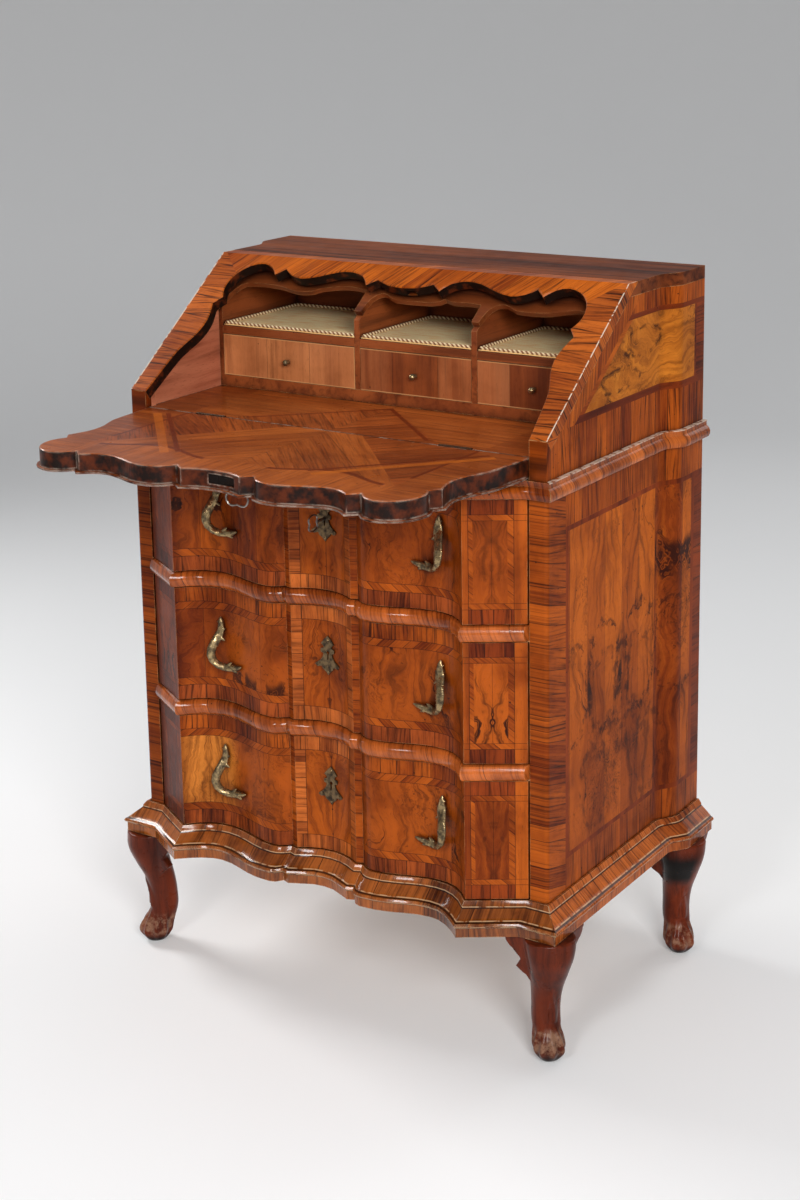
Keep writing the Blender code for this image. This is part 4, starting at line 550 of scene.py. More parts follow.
class Wood:
    """A wood material being made: its place, its pattern and its polish."""

    raised_joints = 3
    """How many patterns of a material show their joints in its relief."""

    def __init__(self, name: str) -> None:
        """Starts the material.

        Args:
            name: the material's name.
        """
        self.material, self.bench = new_material(name)
        drawing = {"Vector": self.bench.own_place(), "Location": (0, SHIFT_Y, 0)}
        self.place = self.bench.out("ShaderNodeMapping", drawing)
        self.x, self.y, self.z = self.bench.split(self.place)
        self.joints: list[Number] = []

    def normal_part(self, axis: Axis) -> Number:
        """How much the surface faces along an axis, 0 to 1."""
        return abs(self.bench.split(self.bench.normal())[axis.value])

    def coloured(self, pattern: dict[str, Number], tints: Tints, contrast: float) -> Number:
        """Colours a pattern.

        Args:
            pattern: the outputs of one of the wood effects.
            tints: the wood's tones.
            contrast: how strong the dark streaks are.

        Returns:
            The colour.
        """
        self.joints.append(pattern["Joint"])
        inputs = {name: pattern[name] for name in PATTERN}
        inputs |= {"Pale": tints.pale, "Middle": tints.middle, "Dark": tints.dark}
        return self.bench.effect(EFFECTS.tones, Contrast=contrast, **inputs)["Color"]

    def banding(
        self, along: Number, across: Number, block: float, tints: Tints, seed: float,
        contrast: float = 0.6, slant: float = 0.0,
    ) -> Number:
        """Cross-banded veneer in blocks along a band, with streaks by contrast and a lean by slant."""
        inputs = {"Along": along, "Across": across, "Block": block, "Slant": slant, "Seed": seed}
        return self.coloured(self.bench.effect(EFFECTS.banding, **inputs), tints, contrast)

    def plank(self, axis: Axis, tints: Tints, seed: float, contrast: float = 0.6) -> Number:
        """Straight solid grain along an axis.

        Args:
            axis: the grain's direction.
            tints: the wood's tones.
            seed: the board's own number.
            contrast: how strong the dark streaks are.

        Returns:
            The colour.
        """
        x, y, z = self.x, self.y, self.z
        along, across, through = {Axis.ACROSS: (x, z, y), Axis.DEEP: (y, x, z), Axis.UP: (z, x, y)}[axis]
        inputs = {"Along": along, "Across": across, "Through": through, "Seed": seed}
        return self.coloured(self.bench.effect(EFFECTS.plank, **inputs), tints, contrast)

    def figured(
        self, across: Number, along: Number, leaf: float, swirl: float, tints: Tints, seed: float, burr: float
    ) -> Number:
        """Book-matched leaves of figured veneer.

        Args:
            across: the place across the leaves.
            along: the place along them.
            leaf: a leaf's width.
            swirl: how far the grain wanders.
            tints: the wood's tones.
            seed: the sheet's own number.
            burr: how strong the dark clouds are.

        Returns:
            The colour.
        """
        inputs = {"Along": along, "Across": across, "Leaf": leaf, "Swirl": swirl, "Seed": seed}
        pattern = self.bench.effect(EFFECTS.leaves, **inputs)
        colour = self.coloured(pattern, tints, 0.6)
        return self.bench.layers(
            self.bench.shaded(pattern["Smoke"] * 0.5, colour, (0.50, 0.40, 0.34)),
            (pattern["Burr"] * burr, tints.dark),
            (pattern["Curl"] * min(1.0, burr * 1.5), tints.dark),
        )

    def curl(
        self, across: Number, along: Number, size: tuple[float, float], seed: float,
        thick: float, strength: float,
    ) -> Number:
        """The mask of a curl of dark figure round a place, to its half sizes, thickness and strength."""
        inputs = {"Across": across, "Along": along, "Wide": size[0], "High": size[1], "Thick": thick}
        return self.bench.effect(EFFECTS.knot, Seed=seed, **inputs)["Ring"] * strength

    def worn(self, colour: Number, tint: Colour, radius: float, amount: float) -> Number:
        """Wears the edges off to a tint, to a radius and by an amount."""
        wear = self.bench.effect(EFFECTS.wear, Radius=radius, Amount=amount)
        return self.bench.blend(wear["Edge"], colour, tint)

    def grimed_and_shaded(self, colour: Number, amount: float = 0.5, scale: float = 9.0) -> Number:
        """Darkens a colour unevenly, as old polish does, darkens small holes, and paints shade into corners
        and crevices.

        Args:
            colour: the colour under it.
            amount: how strong it is.
            scale: how fine the patches are.

        Returns:
            The colour.
        """
        age = self.bench.effect(EFFECTS.age, Patches=scale)
        colour = self.bench.shaded(age["Patch"] * amount, colour, (0.40, 0.30, 0.24))
        # Small holes darken, and painted shade from occlusion darkens corners and crevices.
        return self.bench.blend(self.bench.largest(age["Holes"] * 0.9, age["Crevice"] * 0.8), colour, GRIME_AND_SHADE)

    def rough_black(self, scale: float, low: float, high: float) -> Number:
        """Blackened wood with brown showing through in patches."""
        return self.bench.blend(self.bench.noise(self.place, scale).rise(low, high), GRIME_AND_SHADE, BROWN.middle)

    def finish(
        self, colour: Number, rough: float, coat: float, gloss: float, bump: float = 0.25
    ) -> bpy.types.Material:
        """Closes the material with its polish.

        Args:
            colour: the finished colour.
            rough: the mean roughness.
            coat: the weight of the hard polish over it.
            gloss: the wood's own specular level.
            bump: how strong the relief is.

        Returns:
            The material.
        """
        bench = self.bench
        uneven = bench.noise(self.place, 38.0, 3.0, 0.6)
        relief = bench.noise(self.place, 85.0, 3.0, 0.5) * 0.5
        for joint in self.joints[:self.raised_joints]:
            relief = relief + joint * -0.6
        bench.surface({
            "Base Color": colour,
            "Roughness": uneven * 0.22 + (rough - 0.11),
            "Normal": bench.bump(relief, bump, 0.0006),
            "Specular IOR Level": gloss,
            "Coat Weight": coat,
            "Coat Roughness": 0.09,
        })
        return self.material


@dataclass(frozen=True)
class SideVeneer:
    """The case sides: framed leaves, banded posts, and a burr panel under the slope."""

    seed: float
    middle_y: float = 0.21
    """Where the two halves of the panel mirror each other."""
    curls: tuple[tuple[float, float, tuple[float, float], float, float], ...] = (
        (0.055, 0.495, (0.046, 0.075), 0.09, 0.85),
        (0.055, 0.470, (0.036, 0.060), 0.12, 0.5),
        (0.150, 0.490, (0.050, 0.070), 0.08, 0.7),
        (0.0, 0.485, (0.020, 0.045), 0.5, 0.7),
        (0.035, 0.395, (0.028, 0.030), 0.6, 0.75),
        (0.080, 0.350, (0.040, 0.060), 0.20, 0.6),
    )
    """Each curl's place from the middle, height, half sizes, thickness and strength."""
    burr_curls: tuple[tuple[float, float, tuple[float, float]], ...] = (
        (0.27, 0.935, (0.05, 0.018)),
        (0.20, 0.895, (0.06, 0.014)),
    )
    """Each curl's depth, height and half sizes in the burr panel."""

    def material(self) -> bpy.types.Material:
        """Builds the material.

        Returns:
            The material.
        """
        wood = Wood(f"Side_veneer_{int(self.seed)}")
        bench, x, y, z, seed = wood.bench, wood.x, wood.y, wood.z, self.seed
        across = y - self.middle_y
        mirrored = abs(across)
        colour = wood.figured(across + 0.4, z, 0.05, 0.022, GOLDEN, seed, 0.75)
        colour = bench.shaded(z.rise(0.58, 0.40) * 0.45, colour, (0.55, 0.42, 0.38))
        for place, height, size, thick, strength in self.curls:
            curl = wood.curl(mirrored - place, z - height, size, seed + height * 10, thick, strength)
            colour = bench.blend(curl, colour, GOLDEN.dark)
        stringing = wood.plank(Axis.UP, RUSSET, seed + 2, 0.4)
        rear = wood.banding(z, y, 0.045, RUSSET, seed + 3)
        front = wood.banding(z + y * 0.25, y, 0.03, ORANGE, seed + 4, 0.9)
        ends = wood.banding(y, z, 0.024, ORANGE, seed + 5, 0.8)
        flat_lines = bench.largest(z.inside(0.7215, 0.7285), z.inside(0.2685, 0.2755))
        colour = bench.layers(
            colour,
            (y.inside(0.0495, 0.0555), stringing),
            (y.rise(0.3965, 0.3970), rear),
            (y.inside(0.388, 0.3965), stringing),
            (flat_lines * y.rise(0.0495, 0.05), stringing),
            (bench.largest(z.rise(0.7285, 0.729), z.rise(0.2685, 0.268)), ends),
            (y.rise(0.0495, 0.049) * z.rise(0.775, 0.774), front),
            (z.rise(0.7990, 0.7995), self.upper_panel(wood)),
        )
        colour = wood.grimed_and_shaded(colour, 0.65, 10.0)
        # Painted shade: the left front post is darkened as if turned away from the light.
        left_post_painted_shade = x.rise(-0.27, -0.28) * y.rise(0.03, 0.01) * z.rise(0.80, 0.79)
        colour = bench.shaded(left_post_painted_shade * 0.5, colour, (0.5, 0.44, 0.4))
        inner_face = abs(x).rise(0.3262, 0.3258) * y.rise(0.012, 0.0125)
        colour = bench.blend(inner_face, colour, wood.plank(Axis.DEEP, CHEEK, seed + 8, 0.5))
        colour = wood.worn(colour, WORN_EDGE, 0.0016, 0.85)
        return wood.finish(colour, 0.36, 0.04, 0.06)

    def upper_panel(self, wood: Wood) -> Number:
        """The part over the waist moulding.

        Args:
            wood: the material being made.

        Returns:
            Its colour.
        """
        bench, y, z, seed = wood.bench, wood.y, wood.z, self.seed
        cosine, sine = math.cos(SLOPE), math.sin(SLOPE)
        depth = (y * math.tan(SLOPE) + SLOPE_LOW_Z - z) * cosine
        along = y * cosine + z * sine
        burr = wood.figured(z + 0.1, y, 0.12, 0.045, YELLOW, seed + 11, 0.7)
        for place, height, size in self.burr_curls:
            curl = wood.curl(y - place, z - height, size, seed + place * 30, 0.3, 0.85)
            burr = bench.blend(curl, burr, YELLOW.dark)
        stringing = wood.plank(Axis.DEEP, RUSSET, seed + 12, 0.4)
        low = wood.banding(y, z, 0.025, ORANGE, seed + 13, 0.9)
        high = wood.banding(y, z, 0.03, ORANGE, seed + 14, 0.8)
        slanted = wood.banding(along, depth, 0.017, GOLDEN, seed + 15, 0.9, 1.0)
        rear = wood.banding(z, y, 0.03, RUSSET, seed + 16, 0.8)
        pale_line = wood.plank(Axis.DEEP, GOLDEN, seed + 17, 0.4)
        return bench.layers(
            bench.blend(depth.rise(0.046, 0.0465), pale_line, burr),
            (y.rise(0.391, 0.3915), stringing),
            (y.rise(0.3965, 0.397), rear),
            (z.rise(0.970, 0.9705), stringing),
            (z.rise(0.8685, 0.868), stringing),
            (depth.rise(0.038, 0.0375), slanted),
            (z.rise(0.8585, 0.858), low),
            (z.rise(0.977, 0.9775) * depth.rise(0.0375, 0.038), high),
        )


@dataclass(frozen=True)
class DrawerVeneer:
    """A serpentine drawer front: bands, feathering, framed end panels and a quartered middle."""

    name: str
    low: float
    high: float
    seed: float
    left_tints: Tints
    middle_half: float = 0.050
    end_middle: float = 0.2705

    def material(self) -> bpy.types.Material:
        """Builds the material.

        Returns:
            The material.
        """
        wood = Wood(f"Veneer_{self.name}")
        bench, x, z, seed = wood.bench, wood.x, wood.z, self.seed
        side = abs(x)
        edge = (z - self.low).least(self.high - z)
        middle_z = (self.low + self.high) / 2
        field = wood.figured(x + 1.0, z, 0.30, 0.030, ORANGE, seed, 0.6)
        left_field = wood.figured(x + 1.0, z, 0.088, 0.035, self.left_tints, seed + 30, 0.8)
        feather = wood.banding(x + edge, edge, 0.017, ORANGE, seed + 1, 0.35)
        lower = wood.banding(x, edge, 0.027, BAND, seed + 2, 0.8)
        upper = wood.banding(x, edge, 0.025, ORANGE, seed + 3, 0.9)
        band = bench.blend(z.rise(middle_z - 0.001, middle_z + 0.001), lower, upper)
        colour = bench.layers(
            field,
            (x.rise(-0.150, -0.178), left_field),
            (edge.rise(0.0322, 0.0318), feather),
            (edge.rise(0.0212, 0.0208), band),
            (bench.largest(edge.line(0.021, 0.0009), edge.line(0.032, 0.0008)) * 0.7, GRIME_AND_SHADE),
            (side.rise(0.0605, 0.0600), wood.banding(z, x, 0.028, ORANGE, seed + 4, 0.5)),
            (side.rise(0.0505, 0.0500), self.middle_panel(wood, side, edge)),
            (side.rise(0.2375, 0.2380), self.end_panel(wood, side, edge, middle_z)),
        )
        # Painted shade: the left end of the front is darkened as if turned away from the light.
        colour = bench.shaded(x.rise(-0.225, -0.240), colour, (0.48, 0.38, 0.30))
        colour = wood.grimed_and_shaded(colour, 0.8, 10.0)
        rim = wood.normal_part(Axis.DEEP).rise(0.45, 0.3)
        colour = bench.blend(rim, colour, wood.plank(Axis.ACROSS, BROWN, seed + 9, 0.5))
        colour = wood.worn(colour, WORN_EDGE, 0.0014, 0.75)
        return wood.finish(colour, 0.34, 0.06, 0.06)

    def middle_panel(self, wood: Wood, side: Number, edge: Number) -> Number:
        """The framed panel in the middle.

        Args:
            wood: the material being made.
            side: the place from the middle line.
            edge: the place from the nearer long edge.

        Returns:
            Its colour.
        """
        x, z, seed = wood.x, wood.z, self.seed
        colour = wood.figured(side, z, 0.05, 0.02, GOLDEN, seed + 5, 0.5)
        upright = wood.banding(z, x, 0.03, RAIL_BROWN, seed + 6, 0.6)
        flat = wood.banding(x, z, 0.026, RAIL_BROWN, seed + 7, 0.6)
        rim = self.middle_half - side
        lines = wood.bench.largest(edge.line(0.020, 0.0009), rim.line(0.013, 0.0009), x.line(0.0, 0.0008))
        return wood.bench.layers(
            colour,
            (rim.rise(0.0132, 0.0128), upright),
            (edge.rise(0.0202, 0.0198), flat),
            (lines * 0.7, GRIME_AND_SHADE),
        )

    def end_panel(self, wood: Wood, side: Number, edge: Number, middle_z: float) -> Number:
        """The framed panel at each end.

        Args:
            wood: the material being made.
            side: the place from the middle line.
            edge: the place from the nearer long edge.
            middle_z: the height of its middle.

        Returns:
            Its colour.
        """
        bench, x, z, seed = wood.bench, wood.x, wood.z, self.seed
        half = abs(side - self.end_middle)
        colour = wood.figured(half, z, 0.05, 0.02, ORANGE, seed + 21, 0.7)
        curl = wood.curl(half, z - middle_z, (0.010, 0.024), seed + 22, 0.35, 0.40)
        feather = wood.banding(z + x, x, 0.02, ORANGE, seed + 23, 0.3)
        outer = wood.plank(Axis.UP, ORANGE, seed + 24, 0.4)
        band = wood.banding(x, z, 0.022, RUSSET, seed + 25, 0.8)
        frame_mask = bench.largest(
            edge.rise(0.0282, 0.0278), side.rise(0.2878, 0.2882), side.rise(0.2502, 0.2498)
        )
        outer_mask = bench.largest(side.rise(0.2948, 0.2952), side.rise(0.2452, 0.2448))
        lines = bench.largest(
            edge.line(0.020, 0.0008),
            side.line(0.295, 0.0008),
            side.line(0.245, 0.0008),
            edge.line(0.028, 0.0007),
        )
        return bench.layers(
            colour,
            (curl, RUSSET.dark),
            (frame_mask, feather),
            (edge.rise(0.0202, 0.0198), band),
            (outer_mask, outer),
            (lines * 0.7, GRIME_AND_SHADE),
        )


@dataclass(frozen=True)
class MouldingVeneer:
    """Half-round mouldings covered with short cross-grained pieces."""

    name: str
    axis: Axis
    block: float
    seed: float
    tints: Tints = ORANGE
    slant: float = 0.3
    coat: float = 0.35
    edge: Colour = WORN_EDGE
    edge_width: float = 0.0014
    dark_lines: tuple[float, ...] = ()
    # Heights of the painted shade lines in the quirks between the moulding's members; each gets a pale line
    # of wear and painted highlight just above.
    """Heights of the dark lines between the moulding's members."""
    # Height of a top edge that gets a pale line of rubbed polish and painted highlight.
    rubbed_top: float = 0.0
    contrast: float = 0.6

    def material(self) -> bpy.types.Material:
        """Builds the material.

        Returns:
            The material.
        """
        wood = Wood(f"Moulding_{self.name}")
        bench, z = wood.bench, wood.z
        along, across = (wood.x, wood.y) if self.axis is Axis.ACROSS else (wood.y, wood.x)
        over = across + z if self.slant else z
        colour = wood.banding(along, over, self.block, self.tints, self.seed, self.contrast, self.slant)
        colour = wood.grimed_and_shaded(colour, 0.75, 18.0)
        colour = wood.worn(colour, self.edge, self.edge_width, 0.9)
        broken = bench.noise(wood.place, 90.0, 3.0).rise(0.38, 0.52)
        # Painted shade in each quirk, with a pale line of wear and painted highlight just above it.
        for height in self.dark_lines:
            pale = z.line(height + 0.0014, 0.0012) * broken * 0.65
            colour = bench.layers(colour, (z.line(height, 0.0016) * 0.85, GRIME_AND_SHADE), (pale, PALE_WEAR_AND_HIGHLIGHT))
        # A pale broken line just under the top edge: rubbed polish with a painted highlight.
        if self.rubbed_top:
            top = z.rise(self.rubbed_top - 0.0016, self.rubbed_top - 0.0008) * broken
            colour = bench.blend(top * 0.8, colour, RUBBED_AND_HIGHLIGHT)
        return wood.finish(colour, 0.20, self.coat, 0.12)


@dataclass(frozen=True)
class SolidWood:
    """A plain board with straight grain."""

    name: str
    axis: Axis
    tints: Tints
    seed: float
    rough: float = 0.42
    gloss: float = 0.2
    contrast: float = 0.6
    grime: float = 0.4
    wear: float = 0.6

    def material(self) -> bpy.types.Material:
        """Builds the material.

        Returns:
            The material.
        """
        wood = Wood(self.name)
        colour = wood.grimed_and_shaded(wood.plank(self.axis, self.tints, self.seed, self.contrast), self.grime)
        return wood.finish(wood.worn(colour, WORN_EDGE, 0.0014, self.wear), self.rough, 0.04, self.gloss)


@dataclass(frozen=True)
class SlopeVeneer:
    """The sloping frame: streaky stiles, a slanting top rail and a blackened opening."""

    seed: float = 61.0
    outer: float = 0.3387
    """Half the frame's width."""
    depth: float = 0.2243
    """How far back the frame's top edge lies."""

    def material(self) -> bpy.types.Material:
        """Builds the material.

        Returns:
            The material.
        """
        wood = Wood("Slope_veneer")
        bench, x, z = wood.bench, wood.x, wood.z
        cosine, sine = math.cos(SLOPE), math.sin(SLOPE)
        slope = wood.y * cosine + z * sine
        from_top = SLOPE_LOW_Z * sine + self.depth / cosine - slope
        side = abs(x)
        stile = wood.banding(slope, x, 0.030, STILE, self.seed, 1.0)
        rail = wood.banding(x, from_top, 0.05, GOLDEN, self.seed + 1, 1.0, 0.7)
        low = wood.banding(z, x, 0.03, ORANGE, self.seed + 2, 0.8, 0.2)
        colour = bench.layers(
            stile,
            ((from_top - (0.33 - side)).rise(0.001, -0.001), rail),
            (z.rise(0.8545, 0.8535), low),
        )
        facing = bench.vector_math("DOT_PRODUCT", bench.normal(), (0, -sine, cosine), "Value")
        opening = abs(facing).rise(0.75, 0.45) * side.rise(0.318, 0.314)
        dashes = bench.noise(wood.place, 170.0, 2.0).rise(0.40, 0.48)
        # A broken near-white line along the outer arris of the slope: rubbed polish with a painted highlight.
        arris_rubbed_highlight = side.rise(self.outer - 0.0022, self.outer - 0.0012) * facing.rise(0.5, 0.8) * dashes
        colour = bench.layers(
            wood.worn(wood.grimed_and_shaded(colour, 0.3, 18.0), WORN_EDGE, 0.0012, 0.5),
            (opening, wood.rough_black(60.0, 0.5, 0.72)),
            (arris_rubbed_highlight * 0.85, RUBBED_AND_HIGHLIGHT),
        )
        return wood.finish(colour, 0.36, 0.04, 0.07)


@dataclass(frozen=True)
class WritingParquetry:
    """The writing surface: mirrored wedges, dark strips, a curved inlay and a border."""

    name: str
    seed: float = 51.0
    inlay_y: float = -0.187
    inlay_bow: float = 0.014
    under_z: float = 0.8245

    def strip(
        self, wood: Wood, side: Number, start: tuple[float, float], end: tuple[float, float], width: float
    ) -> Number:
        """A straight dark strip laid into both halves.

        Args:
            wood: the material being made.
            side: the place from the middle line.
            start: one end, from the middle line and deep.
            end: the other end.
            width: the strip's width.

        Returns:
            Its mask.
        """
        length = math.dist(start, end)
        along_x, along_y = (end[0] - start[0]) / length, (end[1] - start[1]) / length
        off_x, off_y = side - start[0], wood.y - start[1]
        across = abs(off_x * along_y - off_y * along_x)
        along = off_x * along_x + off_y * along_y
        return across.rise(width * 0.55, width * 0.45) * along.inside(0.0, length)

    def material(self) -> bpy.types.Material:
        """Builds the material.

        Returns:
            The material.
        """
        wood = Wood(f"Writing_{self.name}")
        bench, x, y, z, seed = wood.bench, wood.x, wood.y, wood.z, self.seed
        side = abs(x)
        leaning, falling = side + y, side - y
        inner = wood.banding(leaning, falling, 0.07, MAHOGANY, seed, 0.5)
        outer = wood.banding(falling, leaning, 0.08, MAHOGANY_DARK, seed + 1, 0.8)
        fan = (0.165 - y) * 1.1 - side
        bed = bench.blend(fan.rise(-0.0004, 0.0004), wood.banding(y, x, 0.06, MAHOGANY, seed + 2, 0.5), outer)
        inlay = y + -self.inlay_y + bench.math("SINE", side * 34.0) * self.inlay_bow
        strips = bench.largest(
            self.strip(wood, side, (0.262, -0.012), (0.103, -0.188), 0.0065),
            self.strip(wood, side, (0.0, 0.160), (0.148, 0.020), 0.0060),
            self.strip(wood, side, (0.2375, 0.012), (0.2375, -0.16), 0.0055),
            inlay.line(0.0, 0.008) * side.inside(0.05, 0.225),
        )
        pale_strip = self.strip(wood, side, (0.275, -0.02), (0.116, -0.2), 0.012)
        colour = bench.layers(
            inner,
            ((y * 0.9 + side).rise(0.0596, 0.0604), outer),
            (y.rise(0.0058, 0.0062), bed),
            (inlay.rise(0.0004, -0.0004), wood.banding(x, y, 0.12, MAHOGANY, seed + 3, 0.4)),
            (side.rise(0.2398, 0.2402), wood.banding(y, x, 0.10, MAHOGANY, seed + 4, 0.4)),
            (strips * 0.85, RUSSET.middle),
            (pale_strip * 0.6, YELLOW.middle),
            # Dark lines: a faint middle joint, and painted shade in the gap between bed and fall.
            (bench.largest(x.line(0.0, 0.0009) * 0.5, y.line(0.006, 0.0040) * 0.85), GRIME_AND_SHADE),
            (z.rise(self.under_z, self.under_z - 0.001), self.under_side(wood, side)),
        )
        colour = wood.grimed_and_shaded(colour, 0.45, 10.0)
        rim = wood.normal_part(Axis.UP).rise(0.5, 0.3)
        colour = bench.blend(rim, colour, wood.rough_black(70.0, 0.35, 0.7))
        colour = wood.worn(colour, shade_of(182, 162, 146), 0.004, 1.0)
        return wood.finish(colour, 0.32, 0.11, 0.10)

    def under_side(self, wood: Wood, side: Number) -> Number:
        """The face that shows when the fall is shut.

        Args:
            wood: the material being made.
            side: the place from the middle line.

        Returns:
            Its colour.
        """
        x, y, seed = wood.x, wood.y, self.seed
        colour = wood.figured(side, y, 0.11, 0.03, GOLDEN, seed + 6, 0.5)
        band = wood.banding(x, y, 0.03, ORANGE, seed + 7, 0.8)
        upright = wood.banding(y, x, 0.03, ORANGE, seed + 8, 0.8)
        ends = wood.bench.largest(y.rise(-0.0254, -0.025), y.rise(-0.20, -0.2004))
        return wood.bench.layers(colour, (ends, band), (side.rise(0.2498, 0.2502), upright))


@dataclass(frozen=True)
class LegStain:
    """Dark reddish stain, rubbed on the toe and nearly black on the sole."""

    name: str
    seed: float
    black_patch: bool = False

    def material(self) -> bpy.types.Material:
        """Builds the material.

        Returns:
            The material.
        """
        wood = Wood(self.name)
        bench, z = wood.bench, wood.z
        colour = wood.grimed_and_shaded(wood.plank(Axis.UP, STAIN, self.seed, 0.6), 0.7, 16.0)
        rubbed = bench.noise(wood.place, 75.0, 4.0, 0.7).rise(0.40, 0.62)
        colour = bench.layers(
            wood.worn(colour, shade_of(150, 84, 52), 0.003, 0.5),
            (z.inside(0.014, 0.044, 0.006) * rubbed * 0.75, shade_of(150, 112, 88)),
            (z.rise(0.014, 0.006) * 0.85, GRIME_AND_SHADE),
        )
        if self.black_patch:
            patch = bench.noise(wood.place, 26.0, 3.0).rise(0.38, 0.5)
            black = z.inside(0.115, 0.165, 0.012) * patch * wood.normal_part(Axis.DEEP).rise(0.2, 0.6)
            colour = bench.blend(black, colour, shade_of(16, 12, 11))
        return wood.finish(colour, 0.30, 0.10, 0.10, 0.4)


@dataclass(frozen=True)
class DrawerBox:
    """A pine drawer box with dovetails at the back corners and rubbed lower edges."""

    name: str
    seed: float
    rear: float = 0.3096 + SHIFT_Y
    board: float = 0.012
    pitch: float = 0.036

    def material(self) -> bpy.types.Material:
        """Builds the material.

        Returns:
            The material.
        """
        wood = Wood(self.name)
        bench, board, pitch = wood.bench, self.board, self.pitch
        colour = wood.plank(Axis.DEEP, PINE, self.seed, 0.5)
        from_rear = self.rear - wood.y
        flare = bench.math("PINGPONG", wood.z, pitch / 2) + from_rear * -0.25
        tail = flare.rise(pitch * 0.24, pitch * 0.26) * from_rear.rise(board + 0.0003, board - 0.0003)
        seam = flare.line(pitch * 0.25, 0.0010) * from_rear.rise(board, board - 0.0005)
        outside = wood.normal_part(Axis.ACROSS).rise(0.5, 0.7)
        colour = bench.layers(
            colour,
            (tail * outside * 0.7, PINE.dark),
            (seam * outside * 0.8, GRIME_AND_SHADE),
        )
        colour = wood.worn(wood.grimed_and_shaded(colour, 0.5), PINE.pale, 0.0014, 0.4)
        return wood.finish(colour, 0.7, 0.0, 0.15)


@dataclass(frozen=True)
class SmallDrawerFront:
    """A small drawer's front: upright grain in three parts with thin pale edges."""

    name: str
    middle: float
    seed: float
    tints: Tints

    def material(self) -> bpy.types.Material:
        """Builds the material.

        Returns:
            The material.
        """
        wood = Wood(self.name)
        bench, z = wood.bench, wood.z
        side = abs(wood.x - self.middle)
        centre = wood.plank(Axis.UP, self.tints, self.seed, 0.5)
        outer = bench.blend(0.35, centre, wood.plank(Axis.UP, INNER, self.seed + 3, 0.5))
        pale = bench.largest(side.line(0.1165, 0.0012), z.rise(0.9038, 0.9046), z.rise(0.8466, 0.8458))
        colour = bench.layers(
            centre,
            (side.rise(0.0378, 0.0382), outer),
            (side.line(0.038, 0.0008) * 0.6, GRIME_AND_SHADE),
            (pale * 0.7, shade_of(214, 158, 104)),
            (wood.y.rise(0.186, 0.187), wood.plank(Axis.DEEP, PINE, self.seed + 5, 0.4)),
        )
        colour = wood.worn(wood.grimed_and_shaded(colour, 0.4, 16.0), WORN_EDGE, 0.001, 0.5)
        return wood.finish(colour, 0.34, 0.05, 0.25)


@dataclass(frozen=True)
class Metal:
    """A metal with patches of tarnish and bright edges."""

    name: str
    bright: Colour
    dull: Colour
    rough: float

    def material(self) -> bpy.types.Material:
        """Builds the material.

        Returns:
            The material.
        """
        material, bench = new_material(self.name)
        place = bench.own_place()
        patch = bench.noise(place, 140.0, 4.0, 0.6).rise(0.35, 0.68)
        edge = bench.effect(EFFECTS.wear, Radius=0.0009, Amount=1.0)["Edge"] * 0.8
        edge_colour = tuple(min(1.0, c * 1.5) for c in self.bright)
        bench.surface({
            "Base Color": bench.blend(edge, bench.blend(patch, self.bright, self.dull), edge_colour),
            "Roughness": patch * 0.25 + (self.rough - 0.1),
            "Normal": bench.bump(bench.noise(place, 420.0, 3.0), 0.35, 0.0004),
            "Metallic": patch * -0.25 + 0.95,
        })
        return material


@dataclass(frozen=True)
class RibbedCloth:
    """The linings' ribbed cloth, on the sheet's own map."""

    name: str = "Ribbed_cloth"
    rib: float = 0.0040
    thread_share: float = 0.6
    """A thread's width as a share of a rib's."""

    def material(self) -> bpy.types.Material:
        """Builds the material.

        Returns:
            The material.
        """
        material, bench = new_material(self.name)
        x, y, _ = bench.split(bench.out("ShaderNodeUVMap", uv_map="cloth"))
        rib = bench.math("SINE", y * (math.tau / self.rib)).rise(-0.8, 0.8)
        thread = bench.math("SINE", x * (math.tau / (self.rib * self.thread_share))).rise(-0.8, 0.8)
        blotch = bench.noise(bench.spot(x * 26.0, y * 210.0), 1.0, 4.0, 0.6)
        colour = bench.layers(
            bench.blend(rib, shade_of(242, 190, 118), shade_of(255, 252, 208)),
            (thread * 0.35, shade_of(255, 222, 156)),
            (blotch.rise(0.42, 0.66) * 0.7, shade_of(240, 182, 114)),
        )
        bench.surface({
            "Base Color": colour,
            "Roughness": blotch * 0.1 + 0.82,
            "Normal": bench.bump(rib + thread * 0.5, 0.6, 0.0006),
        })
        return material


@dataclass(frozen=True)
class TwistedCord:
    """Two-coloured twisted braid."""

    name: str = "Twisted_braid"
    pitch: float = 0.0074

    def material(self) -> bpy.types.Material:
        """Builds the material.

        Returns:
            The material.
        """
        material, bench = new_material(self.name)
        place = bench.own_place()
        x, y, z = bench.split(place)
        wave = bench.math("SINE", (x + y + z * 0.8) * (math.tau / self.pitch)).rise(-0.2, 0.2)
        fuzz = bench.noise(place, 900.0, 3.0)
        strands = bench.blend(wave, shade_of(255, 232, 186), shade_of(140, 84, 46))
        bench.surface({
            "Base Color": bench.blend(fuzz * 0.4, strands, shade_of(96, 72, 48)),
            "Roughness": fuzz * 0.2 + 0.7,
            "Normal": bench.bump(fuzz, 0.6, 0.0004),
        })
        return material


def linked(name: str, data: bpy.types.ID) -> bpy.types.Object:
    """Puts a new object into the scene.

    Args:
        name: its name.
        data: its mesh, lamp or camera.

    Returns:
        The object.
    """
    made = bpy.data.objects.new(name, data)
    bpy.context.scene.collection.objects.link(made)
    return made


def smoothed(mesh: bpy.types.Mesh) -> bpy.types.Mesh:
    """Shades a mesh round and gives it back.

    Args:
        mesh: the mesh.

    Returns:
        The same mesh.
    """
    for polygon in mesh.polygons:
        polygon.use_smooth = True
    return mesh


